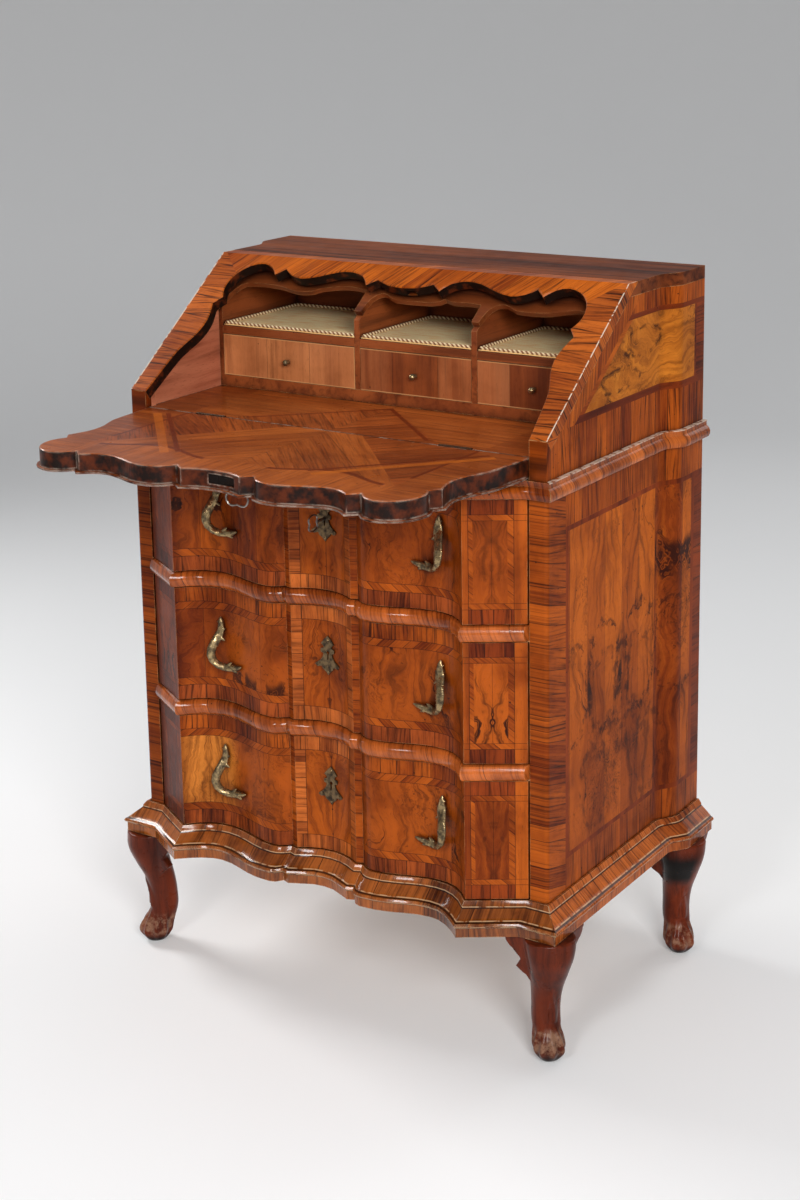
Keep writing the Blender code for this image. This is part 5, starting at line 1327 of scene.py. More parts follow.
def mesh_from(tool: bmesh.types.BMesh, name: str) -> bpy.types.Mesh:
    """Turns a mesh being built into a finished one.

    Args:
        tool: the mesh being built, which is freed.
        name: the new mesh's name.

    Returns:
        The new mesh.
    """
    mesh = bpy.data.meshes.new(name)
    tool.to_mesh(mesh)
    tool.free()
    return mesh


def plain_mesh(holder: bpy.types.Object, name: str) -> bpy.types.Mesh:
    """Keeps what an object's modifiers make as a plain mesh, and clears the object away.

    Args:
        holder: the object with its modifiers.
        name: the new mesh's name.

    Returns:
        The new mesh.
    """
    bpy.context.view_layer.update()
    mesh = bpy.data.meshes.new_from_object(holder.evaluated_get(bpy.context.evaluated_depsgraph_get()))
    mesh.name = name
    holder.modifiers.clear()
    bpy.data.objects.remove(holder)
    return mesh


def body_of(node: str) -> str:
    """The body that a node rides on."""
    return frame["nodes"][node]["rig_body"]


def stand_in(node: str, mesh: bpy.types.Mesh, material: bpy.types.Material) -> None:
    """Puts a mesh in a node's place.

    Args:
        node: the node that it stands for.
        mesh: the new shape.
        material: its finish.
    """
    mesh.materials.clear()
    mesh.materials.append(material)
    piece = linked(f"{node}_dressed", mesh)
    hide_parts(node)
    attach(piece, body_of(node))
    LOG.info("%s: %s", piece.name, material.name)


def merged_copy(node: str) -> bpy.types.Mesh:
    """A copy of a node's mesh with its loose triangles joined.

    Args:
        node: the node.

    Returns:
        The copy.
    """
    tool = bmesh.new()
    tool.from_mesh(frame["nodes"][node].data)
    bmesh.ops.remove_doubles(tool, verts=tool.verts, dist=0.00001)
    mesh = mesh_from(tool, f"{node}_dressed")
    if "custom_normal" in mesh.attributes:
        mesh.attributes.remove(mesh.attributes["custom_normal"])
    return mesh


def modified(mesh: bpy.types.Mesh, steps: dict[str, dict[str, object]]) -> bpy.types.Mesh:
    """Runs modifiers on a mesh and keeps the result.

    Args:
        mesh: the mesh.
        steps: each modifier's type and settings, in order.

    Returns:
        The new mesh.
    """
    holder = linked("Holder", mesh)
    for kind, settings in steps.items():
        modifier = holder.modifiers.new(kind.title(), kind)
        for name, value in settings.items():
            setattr(modifier, name, value)
    return plain_mesh(holder, mesh.name)


def dress(node: str, material: bpy.types.Material, angle: float = 32.0) -> None:
    """Stands a smooth copy of a CAD node in its place, in a better material.

    Args:
        node: the node's name.
        material: its finish.
        angle: the sharpest turn, in degrees, that is shaded round.
    """
    mesh = smoothed(merged_copy(node))
    mesh.set_sharp_from_angle(angle=math.radians(angle))
    stand_in(node, mesh, material)


class Blueprint:
    """A Geometry Nodes tree being made, with named inputs."""

    def __init__(self, name: str) -> None:
        """Starts the tree.

        Args:
            name: its name.
        """
        self.tree = bpy.data.node_groups.new(name, "GeometryNodeTree")
        self.tree.is_modifier = True
        for way in ("INPUT", "OUTPUT"):
            self.tree.interface.new_socket(name="Geometry", in_out=way, socket_type="NodeSocketGeometry")
        self.keys: dict[str, str] = {}
        self.bench = Bench(self.tree)
        self.start = self.tree.nodes.new("NodeGroupInput").outputs
        self.end = self.tree.nodes.new("NodeGroupOutput").inputs[0]

    def given(self) -> Number:
        """The geometry that the tree starts from."""
        return Number(self.bench, self.start[0])

    def size(self, name: str, value: float) -> Number:
        """Adds a named length.

        Args:
            name: its name.
            value: its value.

        Returns:
            The length inside the tree.
        """
        socket = self.tree.interface.new_socket(name=name, in_out="INPUT", socket_type="NodeSocketFloat")
        socket.default_value = value
        self.keys[name] = socket.identifier
        return Number(self.bench, self.start[name])

    def close(self, geometry: Number, material: bpy.types.Material) -> None:
        """Ends the tree with plain geometry in one material.

        Args:
            geometry: what the tree made.
            material: its material.
        """
        real = self.bench.out("GeometryNodeRealizeInstances", {0: geometry})
        dressed = self.bench.out("GeometryNodeSetMaterial", {"Geometry": real, "Material": material})
        self.bench.put(self.end, dressed)

    def run(self, name: str, base: bpy.types.Mesh, sizes: dict[str, float]) -> bpy.types.Object:
        """Runs the tree on a mesh and keeps the result as a plain mesh.

        Args:
            name: the new piece's name.
            base: the mesh it starts from.
            sizes: the named lengths.

        Returns:
            The new piece.
        """
        holder = linked(f"{name}_base", base)
        modifier = holder.modifiers.new("Build", "NODES")
        modifier.node_group = self.tree
        for label, value in sizes.items():
            modifier[self.keys[label]] = value
        return linked(name, smoothed(plain_mesh(holder, name)))


class Heads:
    """Small heads of screws, nails or pins, set on a surface by one tree."""

    def __init__(self, name: str, metal: bpy.types.Material, slotted: bool = False) -> None:
        """Builds the tree, which sets a low domed head on every point.

        Args:
            name: the tree's name.
            metal: the heads' material.
            slotted: whether a head has a driver's slot, and is turned at random.
        """
        self.plan = Blueprint(name)
        self.turn = math.pi if slotted else 0.0
        bench = self.plan.bench
        radius, rise = self.plan.size("Radius", 0.002), self.plan.size("Rise", 0.0006)
        turn = self.plan.size("Turn", 0.0)
        ball = bench.out("GeometryNodeMeshUVSphere", {"Segments": 20, "Rings": 10, "Radius": 1.0})
        if slotted:
            x, _, z = bench.split(bench.out("GeometryNodeInputPosition"))
            sink = bench.spot(0.0, 0.0, abs(x).rise(0.30, 0.18) * z.rise(0.0, 0.2) * -0.9)
            ball = bench.out("GeometryNodeSetPosition", {"Geometry": ball, "Offset": sink})
        size = bench.spot(radius, radius, rise)
        flat = bench.out("GeometryNodeTransform", {"Geometry": ball, "Scale": size})
        facing = bench.out("GeometryNodeInputNamedAttribute", {"Name": "facing"}, data_type="FLOAT_VECTOR")
        lean = bench.out("FunctionNodeAlignRotationToVector", {"Vector": facing}, axis="Z")
        chance = bench.out("FunctionNodeRandomValue", {2: 0.0, 3: 1.0, "Seed": 4}, 1, data_type="FLOAT")
        spin = {0: lean, 1: bench.spot(0.0, 0.0, chance * turn)}
        turned = bench.out("FunctionNodeRotateRotation", spin, rotation_space="LOCAL")
        places = {"Points": self.plan.given(), "Instance": flat, "Rotation": turned}
        self.plan.close(bench.out("GeometryNodeInstanceOnPoints", places), metal)

    def drive(
        self, name: str, node: str, starts: list[Vector], way: Vector, radius: float, rise: float,
        sunk: float = 0.0,
    ) -> None:
        """Sets heads where lines meet a node's surface.

        Args:
            name: the piece's name.
            node: the node that they sit on.
            starts: where the lines start.
            way: the way they run; the heads face against it.
            radius: a head's radius.
            rise: how far it stands proud.
            sunk: how deep they are driven in.
        """
        mesh = frame["nodes"][node].data
        faces = [tuple(polygon.vertices) for polygon in mesh.polygons]
        surface = BVHTree.FromPolygons([vertex.co for vertex in mesh.vertices], faces)
        met = [surface.ray_cast(start, way)[0] for start in starts]
        points = bpy.data.meshes.new(name)
        points.from_pydata([tuple(hit + way * sunk) for hit in met if hit is not None], [], [])
        for row in points.attributes.new("facing", "FLOAT_VECTOR", "POINT").data:
            row.vector = -way
        piece = self.plan.run(name, points, {"Radius": radius, "Rise": rise, "Turn": self.turn})
        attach(piece, body_of(node))
        LOG.info("%s: %d heads", name, len(points.vertices))


@dataclass
class Studio:
    """The pale studio, its lamps and the camera."""

    flat_radius: float = 3.6
    floor_radius: float = 5.2
    wall_height: float = 3.2
    facets: int = 64
    lens: float = 62.305
    camera_place: tuple[float, float, float] = (1.568559, -2.298892, 1.452108)
    yaw: float = 0.5776013769
    pitch: float = -0.2209366532
    roll: float = -0.0170087687
    shift: float = -0.15
    aim_height: float = 0.55
    lamps: tuple[tuple[str, tuple[float, float, float], float, float, float], ...] = (
        ("Key", (2.5, -2.3, 2.1), 1.2, 86.0, 180.0),
        ("Left", (-2.9, 0.3, 2.3), 1.1, 30.0, 120.0),
        ("Front", (0.5, -3.5, 2.5), 0.7, 34.0, 180.0),
        ("Top", (0.2, 0.1, 3.3), 1.4, 10.0, 180.0),
        ("Rear", (0.8, 3.0, 2.2), 1.6, 16.0, 180.0),
    )
    """Each lamp's name, place, size, power and spread."""

    def build(self) -> None:
        """Makes the camera, the sweep and the lamps."""
        self.place_camera()
        self.make_sweep()
        self.hang_lamps()
        bpy.context.scene.view_settings.view_transform = "Standard"
        LOG.info("studio: %d lamps", len(self.lamps))

    def place_camera(self) -> None:
        """Makes the camera at the photograph's viewing angle."""
        yaw, pitch, roll = self.yaw, self.pitch, self.roll
        forward = Vector((-math.sin(yaw) * math.cos(pitch), math.cos(yaw) * math.cos(pitch), math.sin(pitch)))
        right = Vector((math.cos(yaw), math.sin(yaw), 0))
        up = right.cross(forward)
        right_rolled = right * math.cos(roll) + up * math.sin(roll)
        up_rolled = -right * math.sin(roll) + up * math.cos(roll)
        turn = Matrix((right_rolled, up_rolled, -forward)).transposed()
        data = bpy.data.cameras.new("Camera")
        data.sensor_width, data.lens, data.shift_y = 36.0, self.lens, self.shift
        camera = linked("Camera", data)
        camera.matrix_world = Matrix.Translation(self.camera_place) @ turn.to_4x4()
        bpy.context.scene.camera = camera

    def make_sweep(self) -> None:
        """Makes the floor that curves up into a wall all the way round."""
        flat, bend, count = self.flat_radius, self.floor_radius - self.flat_radius, self.facets
        profile = [(0.02, 0.0), (flat / 3, 0.0), (flat / 1.5, 0.0), (flat, 0.0)]
        angles = [math.pi / 24 * k for k in range(1, 13)]
        profile += [(flat + bend * math.sin(a), bend * (1 - math.cos(a))) for a in angles]
        profile.append((self.floor_radius, self.wall_height))
        turns = [(math.cos(math.tau * k / count), math.sin(math.tau * k / count)) for k in range(count)]
        tool = bmesh.new()
        rings = [
            [tool.verts.new((radius * c, radius * s, height)) for c, s in turns]
            for radius, height in profile
        ]
        tool.faces.new(rings[0])
        for low, high in zip(rings, rings[1:]):
            for k in range(count):
                after = (k + 1) % count
                tool.faces.new((low[k], low[after], high[after], high[k]))
        bmesh.ops.recalc_face_normals(tool, faces=tool.faces)
        sweep = linked("Sweep", smoothed(mesh_from(tool, "Sweep")))
        sweep.data.materials.append(self.paper())

    def paper(self) -> bpy.types.Material:
        """The pale paper of the sweep, painted darker farther out and higher up as light falloff.

        Returns:
            The material.
        """
        material, bench = new_material("Studio_paper")
        place = bench.own_place()
        x, y, z = bench.split(place)
        far = bench.math("SQRT", x * x + y * y)
        # Painted light falloff: the paper darkens away from the middle and up the wall.
        painted_falloff = (far + z * 1.4).rise(3.0, 9.6)
        colour = bench.blend(painted_falloff, shade_of(228, 228, 228), shade_of(172, 172, 172))
        path = bench.add("ShaderNodeLightPath").outputs
        rays = ("Is Camera Ray", "Is Glossy Ray", "Is Transmission Ray")
        seen = bench.largest(*(Number(bench, path[ray]) for ray in rays))
        bench.surface({
            "Base Color": bench.blend(bench.noise(place, 3.0, 3.0) * 0.04, colour, (0.5, 0.5, 0.5)),
            "Emission Strength": seen * 0.15,
            "Emission Color": (1.0, 1.0, 1.0),
            "Roughness": 0.7,
        })
        return material

    def hang_lamps(self) -> None:
        """Hangs the soft lamps and sets the room's own light."""
        for name, place, size, power, spread in self.lamps:
            data = bpy.data.lights.new(name, "AREA")
            data.shape, data.size, data.energy = "SQUARE", size, power
            data.spread = math.radians(spread)
            lamp = linked(name, data)
            lamp.location = place
            aim = UPWARDS * self.aim_height - Vector(place)
            lamp.rotation_euler = aim.to_track_quat("-Z", "Y").to_euler()
        world = bpy.data.worlds.new("Room")
        world.use_nodes = True
        background = world.node_tree.nodes["Background"]
        background.inputs["Color"].default_value = (0.92, 0.95, 1.0, 1.0)
        background.inputs["Strength"].default_value = 0.21
        bpy.context.scene.world = world


@dataclass
class CarvedLeg:
    """A cabriole leg: a turned-out body, two brackets with a spur, and a fluted toe."""

    node: str
    side_reach: float
    height: float = 0.18
    half_width: float = 0.0195
    foot_reach: float = 0.016
    knee_reach: float = 0.024
    roundness: float = 0.86
    """The power that squares the section's corners."""
    bracket_reach: float = 0.063
    bracket_height: float = 0.100
    bracket_thickness: float = 0.016
    bracket_stand: float = 0.0172
    bracket_sink: float = 0.0185
    bracket_taper: float = 0.45
    """How far a bracket's face stands out, sinks back below, and thins."""
    flutes: int = 9
    flute_depth: float = 0.0038
    flute_top: float = 0.050
    flute_fade: float = 0.022
    sole: float = 0.004
    voxel: float = 0.0017
    body_steps: int = 44
    ring_points: int = 32
    bracket_steps: int = 40
    sections: tuple[tuple[float, float, float, float], ...] = (
        (0.000, 0.600, 0.60, 0.55), (0.030, 0.620, 0.95, 0.86), (0.090, 0.640, 1.30, 1.16),
        (0.160, 0.500, 1.28, 1.10), (0.240, 0.180, 1.10, 1.00), (0.320, 0.000, 1.02, 1.00),
        (0.430, 0.030, 1.03, 1.00), (0.560, 0.220, 1.12, 1.10), (0.700, 0.600, 1.30, 1.32),
        (0.860, 0.950, 1.48, 1.62), (1.000, 0.900, 1.52, 1.80),
    )
    """Height, reach, half length and half width, as shares of the leg's sizes."""
    outline: tuple[tuple[float, float], ...] = (
        (1.00, 0.00), (0.963, 0.126), (0.825, 0.22), (0.624, 0.36), (0.70, 0.42), (0.77, 0.50),
        (0.667, 0.55), (0.54, 0.60), (0.397, 0.73), (0.30, 0.85), (0.22, 1.00), (0.0, 1.25),
    )
    """A bracket's reach along the plinth at each depth under it, as shares of its size."""

    def section(self, share: float) -> tuple[float, float, float]:
        """Reads the leg's section at a height.

        Args:
            share: the height as a share of the leg's.

        Returns:
            Its reach, half length and half width.
        """
        rows = self.sections
        k = max(i for i in range(len(rows) - 1) if rows[i][0] <= share or i == 0)
        before, low, high, after = rows[max(k - 1, 0)], rows[k], rows[k + 1], rows[min(k + 2, len(rows) - 1)]
        t = (share - low[0]) / (high[0] - low[0])
        values = []
        for i in (1, 2, 3):
            bend = 2 * low[i] + t * (high[i] - before[i])
            bend += t * t * (2 * before[i] - 5 * low[i] + 4 * high[i] - after[i])
            bend += t ** 3 * (3 * low[i] - before[i] - 3 * high[i] + after[i])
            values.append(bend / 2)
        return tuple(values)

    def loft(self, tool: bmesh.types.BMesh, rings: list[list[Vector]]) -> None:
        """Adds a closed skin through rings of points.

        Args:
            tool: the mesh being built.
            rings: the rings, from the bottom up.
        """
        made = [[tool.verts.new(point) for point in ring] for ring in rings]
        count = len(rings[0])
        for low, high in zip(made, made[1:]):
            for k in range(count):
                after = (k + 1) % count
                tool.faces.new((low[k], low[after], high[after], high[k]))
        tool.faces.new(list(reversed(made[0])))
        tool.faces.new(made[-1])

    def body_rings(self, foot: Vector, out: Vector, aside: Vector) -> list[list[Vector]]:
        """The rings of the leg's body.

        Args:
            foot: the foot's middle.
            out: the way the leg turns out.
            aside: the way across it.

        Returns:
            The rings.
        """
        rings = []
        for step in range(self.body_steps + 1):
            share = step / self.body_steps
            reach, long_share, wide_share = self.section(share)
            middle = foot + out * (self.knee_reach * reach - self.foot_reach)
            ring = []
            for k in range(self.ring_points):
                turn = math.tau * k / self.ring_points
                c, s = math.cos(turn), math.sin(turn)
                along = math.copysign(abs(c) ** self.roundness, c) * self.half_width * long_share
                across = math.copysign(abs(s) ** self.roundness, s) * self.half_width * wide_share
                ring.append(middle + out * along + aside * across + UPWARDS * (self.height * share))
            rings.append(ring)
        return rings

    def bracket_rings(self, knee: Vector, along: Vector, face: Vector, reach: float) -> list[list[Vector]]:
        """The rings of one bracket.

        Args:
            knee: the knee's middle on the floor.
            along: the way the bracket runs.
            face: the way its shown face looks.
            reach: how far it runs.

        Returns:
            The rings.
        """
        rings = []
        for step in range(self.bracket_steps + 1):
            depth = self.outline[-1][1] * (1 - step / self.bracket_steps)
            k = max(i for i in range(len(self.outline) - 1) if self.outline[i][1] <= depth)
            near, far = self.outline[k], self.outline[k + 1]
            t = (depth - near[1]) / (far[1] - near[1])
            length = (near[0] + (far[0] - near[0]) * t) * reach
            stand = self.bracket_stand - self.bracket_sink * min(depth, 1.1) ** 1.3
            back = stand - self.bracket_thickness * (1 - self.bracket_taper * depth)
            base = knee + UPWARDS * (self.height - depth * self.bracket_height)
            start, end = base - along * 0.004, base + along * max(length, 0.0005)
            rings.append([start + face * stand, end + face * stand, end + face * back, start + face * back])
        return rings

    def build(self, material: bpy.types.Material) -> None:
        """Makes the leg in its node's place.

        Args:
            material: its finish.
        """
        low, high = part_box(self.node)
        side = 1.0 if low.x > 0 else -1.0
        bottom = [v.co for v in frame["nodes"][self.node].data.vertices if v.co.z < 0.001]
        out, aside = Vector((side, -1, 0)).normalized(), Vector((side, 1, 0)).normalized()
        foot = sum(bottom, Vector()) / len(bottom) + out * (self.foot_reach - self.knee_reach * 0.6)
        foot.z = 0.0
        knee = foot + out * (self.knee_reach - self.foot_reach)
        sideways = Vector((side, 0, 0))
        tool = bmesh.new()
        self.loft(tool, self.body_rings(foot, out, aside))
        self.loft(tool, self.bracket_rings(knee, -sideways, -BACKWARDS, self.bracket_reach))
        self.loft(tool, self.bracket_rings(knee, BACKWARDS, sideways, self.side_reach))
        bmesh.ops.recalc_face_normals(tool, faces=tool.faces)
        mesh = modified(mesh_from(tool, f"{self.node}_dressed"), {
            "REMESH": {"mode": "VOXEL", "voxel_size": self.voxel, "use_smooth_shade": True},
            "SMOOTH": {"factor": 0.5, "iterations": 5},
        })
        self.carve_toe(mesh, foot - out * 0.002, out, aside)
        self.fit(mesh, low, high)
        stand_in(self.node, smoothed(mesh), material)

    def carve_toe(self, mesh: bpy.types.Mesh, middle: Vector, out: Vector, aside: Vector) -> None:
        """Cuts the flutes round the toe.

        Args:
            mesh: the leg's mesh.
            middle: the toe's middle.
            out: the way the leg turns out.
            aside: the way across it.
        """
        for vertex in mesh.vertices:
            place = vertex.co
            share = min(1.0, max(0.0, (self.flute_top - place.z) / self.flute_fade))
            share *= min(1.0, max(0.0, place.z - self.sole) / 0.008)
            away = Vector((place.x - middle.x, place.y - middle.y, 0))
            if share > 0 and away.length > 0.004:
                turn = math.atan2(away.dot(aside), away.dot(out))
                flute = (0.5 - 0.5 * math.cos(turn * self.flutes)) ** 0.7
                place -= away.normalized() * self.flute_depth * share * flute

    def fit(self, mesh: bpy.types.Mesh, low: Vector, high: Vector) -> None:
        """Keeps a mesh inside the node's box and stretches it to the node's own height.

        Args:
            mesh: the leg's mesh.
            low: the node's lowest corner.
            high: its highest.
        """
        heights = [vertex.co.z for vertex in mesh.vertices]
        bottom, top = min(heights), max(heights)
        for vertex in mesh.vertices:
            vertex.co.x = min(max(vertex.co.x, low.x), high.x)
            vertex.co.y = min(max(vertex.co.y, low.y), high.y)
            vertex.co.z = low.z + (vertex.co.z - bottom) * (high.z - low.z) / (top - bottom)


@dataclass
class Case:
    """The case, its mouldings, feet and slope."""

    plinth_lines: tuple[float, float, float] = (0.1938, 0.2007, 0.2151)
    waist_top: float = 0.7995
    legs: tuple[tuple[str, float], ...] = (
        ("leg_front_left", 0.063),
        ("leg_front_right", 0.063),
        ("leg_back_left", 0.0545),
        ("leg_back_right", 0.0545),
    )
    """Each leg's node and how far its side bracket runs."""

    def finishes(self) -> dict[str, SideVeneer | SolidWood | SlopeVeneer | MouldingVeneer]:
        """The finish of every node but the legs and the pine boards.

        Returns:
            The finishes by node.
        """
        waist = {"tints": RAIL_BROWN, "coat": 0.12, "edge_width": 0.0010, "rubbed_top": self.waist_top}
        plinth = {"slant": 0.0, "edge": PALE_WEAR_AND_HIGHLIGHT, "dark_lines": self.plinth_lines}
        plinth_side = {**plinth, "tints": RAIL_BROWN, "coat": 0.15, "contrast": 0.9}
        rows = (
            ("waist_moulding_left", Axis.DEEP, 0.04, 22.0, waist),
            ("waist_moulding_right", Axis.DEEP, 0.04, 23.0, waist),
            ("rail_upper", Axis.ACROSS, 0.085, 24.0, {"tints": RAIL_DARK, "coat": 0.45}),
            ("rail_lower", Axis.ACROSS, 0.085, 25.0, {"tints": RAIL_DARK, "coat": 0.45}),
            ("plinth_front", Axis.ACROSS, 0.10, 26.0,
             {**plinth, "tints": PLINTH_BROWN, "coat": 0.5, "edge_width": 0.002}),
            ("plinth_left", Axis.DEEP, 0.10, 27.0, plinth_side),
            ("plinth_right", Axis.DEEP, 0.10, 28.0, plinth_side),
        )
        mouldings = {row[0]: MouldingVeneer(*row[:4], **row[4]) for row in rows}
        return {
            "side_left": SideVeneer(3.0),
            "side_right": SideVeneer(8.0),
            "top_panel": SolidWood("Top_board", Axis.ACROSS, BROWN, 12.0, 0.5, 0.08, 0.8),
            "slant_frame": SlopeVeneer(),
            "waist_rail": MouldingVeneer("waist_front", Axis.ACROSS, 0.045, 21.0),
            **mouldings,
        }

    def build(self) -> None:
        """Dresses every node of the case."""
        for node, finish in self.finishes().items():
            dress(node, finish.material())
        pine = SolidWood("Pine_boards", Axis.ACROSS, PINE, 31.0, 0.7, 0.15, 0.5, 0.5, 0.3).material()
        for node in ("back_panel", "bottom_board"):
            dress(node, pine)
        for k, (node, side_reach) in enumerate(self.legs):
            stain = LegStain(f"Stained_{node}", 41.0 + k, node == "leg_back_right")
            CarvedLeg(node, side_reach).build(stain.material())


@dataclass
class Drawers:
    """The three long drawers."""

    lows: tuple[float, float, float] = (0.6068, 0.4158, 0.2248)
    height: float = 0.1665
    left_tints: tuple[Tints, Tints, Tints] = (ORANGE, ORANGE, AMBER)
    front_seed: float = 70.0
    seed_step: float = 7.0
    box_seed: float = 90.0

    def build(self) -> None:
        """Dresses the fronts and boxes."""
        for number, (low, tints) in enumerate(zip(self.lows, self.left_tints), 1):
            name = f"drawer_{number}"
            seed = self.front_seed + self.seed_step * number
            veneer = DrawerVeneer(name, low, low + self.height, seed, tints)
            dress(f"{name}_front", veneer.material())
            dress(f"{name}_box", DrawerBox(f"Pine_{name}", self.box_seed + number).material())


@dataclass
class WritingInterior:
    """The writing surface, pigeonholes and small drawers."""

    plain: tuple[tuple[str, Axis, Tints], ...] = (
        ("pigeonhole_case", Axis.DEEP, BEECH_BROWN),
        ("pigeonhole_shelf", Axis.ACROSS, BEECH_BROWN),
        ("pigeonhole_back", Axis.ACROSS, BEECH_BROWN),
        ("divider_1", Axis.DEEP, BEECH_BROWN),
        ("divider_2", Axis.DEEP, BEECH_BROWN),
        ("valance", Axis.ACROSS, BROWN),
    )
    small_fronts: tuple[tuple[float, Tints], ...] = (
        (-0.19125, INNER_CALM), (0.028, BEECH_BROWN), (0.21925, BEECH_BROWN),
    )
    """Each small drawer's middle, across, and its wood."""

    def build(self) -> None:
        """Dresses the nodes of the interior."""
        dress("writing_bed", WritingParquetry("bed").material())
        dress("fall_board", WritingParquetry("fall").material())
        for k, (node, axis, tints) in enumerate(self.plain):
            dress(node, SolidWood(f"Inner_{node}", axis, tints, 110.0 + k, 0.40, 0.2).material())
        for number, (middle, tints) in enumerate(self.small_fronts, 1):
            front = SmallDrawerFront(f"Small_drawer_{number}", middle, 130.0 + number, tints)
            dress(f"small_drawer_{number}", front.material())


@dataclass
class Linings:
    """The three cloth linings with their braid."""

    nodes: tuple[str, str, str] = ("lining_left", "lining_middle", "lining_right")
    thickness: float = 0.0012
    step: float = 0.004
    lift: float = 0.0001
    wave: float = 0.00022
    ripples: tuple[tuple[float, float], tuple[float, float]] = ((91.0, 17.0), (23.0, 63.0))
    """How fast each of the two waves turns, across and deep."""
    braid: float = 0.0046
    braid_pitch: float = 0.011
    strands: int = 3
    strand_share: float = 0.56
    twist_share: float = 0.5
    inset_share: float = 0.55
    lift_share: float = 0.42
    """The braid's strands, twist and place, as shares of its own size."""

    def build(self) -> None:
        """Makes the cloths and their braid."""
        cloth_finish = RibbedCloth().material()
        plan = self.braid_plan(TwistedCord().material())
        for node in self.nodes:
            low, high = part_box(node)
            cloth = self.make_cloth(node, low, high, cloth_finish)
            trim = self.make_braid(plan, node, low, high)
            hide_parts(node)
            for piece in (cloth, trim):
                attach(piece, body_of(node))

    def make_cloth(
        self, node: str, low: Vector, high: Vector, finish: bpy.types.Material
    ) -> bpy.types.Object:
        """Makes one cloth: a fine sheet that lies almost flat, with a slight wave.

        Args:
            node: the node it stands for.
            low: the node's lowest corner.
            high: the node's highest corner.
            finish: the cloth's material.

        Returns:
            The cloth.
        """
        tool = bmesh.new()
        own_map = tool.loops.layers.uv.new("cloth")
        columns = max(4, round((high.x - low.x) / self.step))
        rows = max(4, round((high.y - low.y) / self.step))
        grid: list[list[bmesh.types.BMVert]] = []
        first, second = self.ripples
        for j in range(rows + 1):
            y = low.y + (high.y - low.y) * j / rows
            line = []
            for i in range(columns + 1):
                x = low.x + (high.x - low.x) * i / columns
                wave = math.sin(x * first[0] + y * first[1]) * math.sin(y * second[1] - x * second[0])
                line.append(tool.verts.new((x, y, low.z + self.lift + self.wave * (1 + wave))))
            grid.append(line)
        for near, far in zip(grid, grid[1:]):
            for i in range(columns):
                face = tool.faces.new((near[i], near[i + 1], far[i + 1], far[i]))
                for loop in face.loops:
                    loop[own_map].uv = loop.vert.co.xy
        cloth = linked(f"{node}_cloth", smoothed(mesh_from(tool, f"{node}_cloth")))
        cloth.data.materials.append(finish)
        wall = cloth.modifiers.new("Thickness", "SOLIDIFY")
        wall.thickness, wall.offset = self.thickness, 1.0
        return cloth

    def braid_plan(self, finish: bpy.types.Material) -> Blueprint:
        """A tree that twists strands along a path.

        Args:
            finish: the braid's material.

        Returns:
            The tree.
        """
        plan = Blueprint("Twisted_braid")
        bench = plan.bench
        radius, pitch = plan.size("Radius", 0.0009), plan.size("Pitch", 0.006)
        path = bench.out("GeometryNodeMeshToCurve", {0: plan.given()})
        fine = bench.out("GeometryNodeResampleCurve", {"Curve": path, "Length": pitch / 8.0}, mode="LENGTH")
        circle = {"Resolution": 6, "Radius": radius * self.strand_share}
        ring = bench.out("GeometryNodeCurvePrimitiveCircle", circle, mode="RADIUS")
        travelled = bench.out("GeometryNodeSplineParameter", pick="Length")
        tangent = bench.out("GeometryNodeInputTangent")
        side = bench.vector_math("CROSS_PRODUCT", tangent, UPWARDS)
        joined = bench.add("GeometryNodeJoinGeometry")
        for strand in range(self.strands):
            angle = travelled / pitch * math.tau + math.tau * strand / self.strands
            reach = {0: side, "Scale": bench.math("COSINE", angle) * radius * self.twist_share}
            out = bench.out("ShaderNodeVectorMath", reach, operation="SCALE")
            lift = bench.spot(0.0, 0.0, bench.math("SINE", angle) * radius * self.twist_share)
            moved = {"Geometry": fine, "Offset": bench.vector_math("ADD", out, lift)}
            helix = bench.out("GeometryNodeSetPosition", moved)
            tube = {"Curve": helix, "Profile Curve": ring, "Fill Caps": True}
            bench.put(joined.inputs[0], bench.out("GeometryNodeCurveToMesh", tube))
        plan.close(Number(bench, joined.outputs[0]), finish)
        return plan

    def make_braid(self, plan: Blueprint, node: str, low: Vector, high: Vector) -> bpy.types.Object:
        """Makes the braid round one cloth.

        Args:
            plan: the braid's tree.
            node: the node its cloth stands for.
            low: the node's lowest corner.
            high: the node's highest corner.

        Returns:
            The braid.
        """
        inset = self.braid * self.inset_share
        left, right, front, back = low.x + inset, high.x - inset, low.y + inset, high.y - inset
        corners_across = ((left, back), (left, front), (right, front), (right, back))
        mesh = bpy.data.meshes.new(f"{node}_braid_path")
        points = [(x, y, high.z + self.braid * self.lift_share) for x, y in corners_across]
        mesh.from_pydata(points, [(0, 1), (1, 2), (2, 3), (3, 0)], [])
        return plan.run(f"{node}_braid", mesh, {"Radius": self.braid * 0.5, "Pitch": self.braid_pitch})


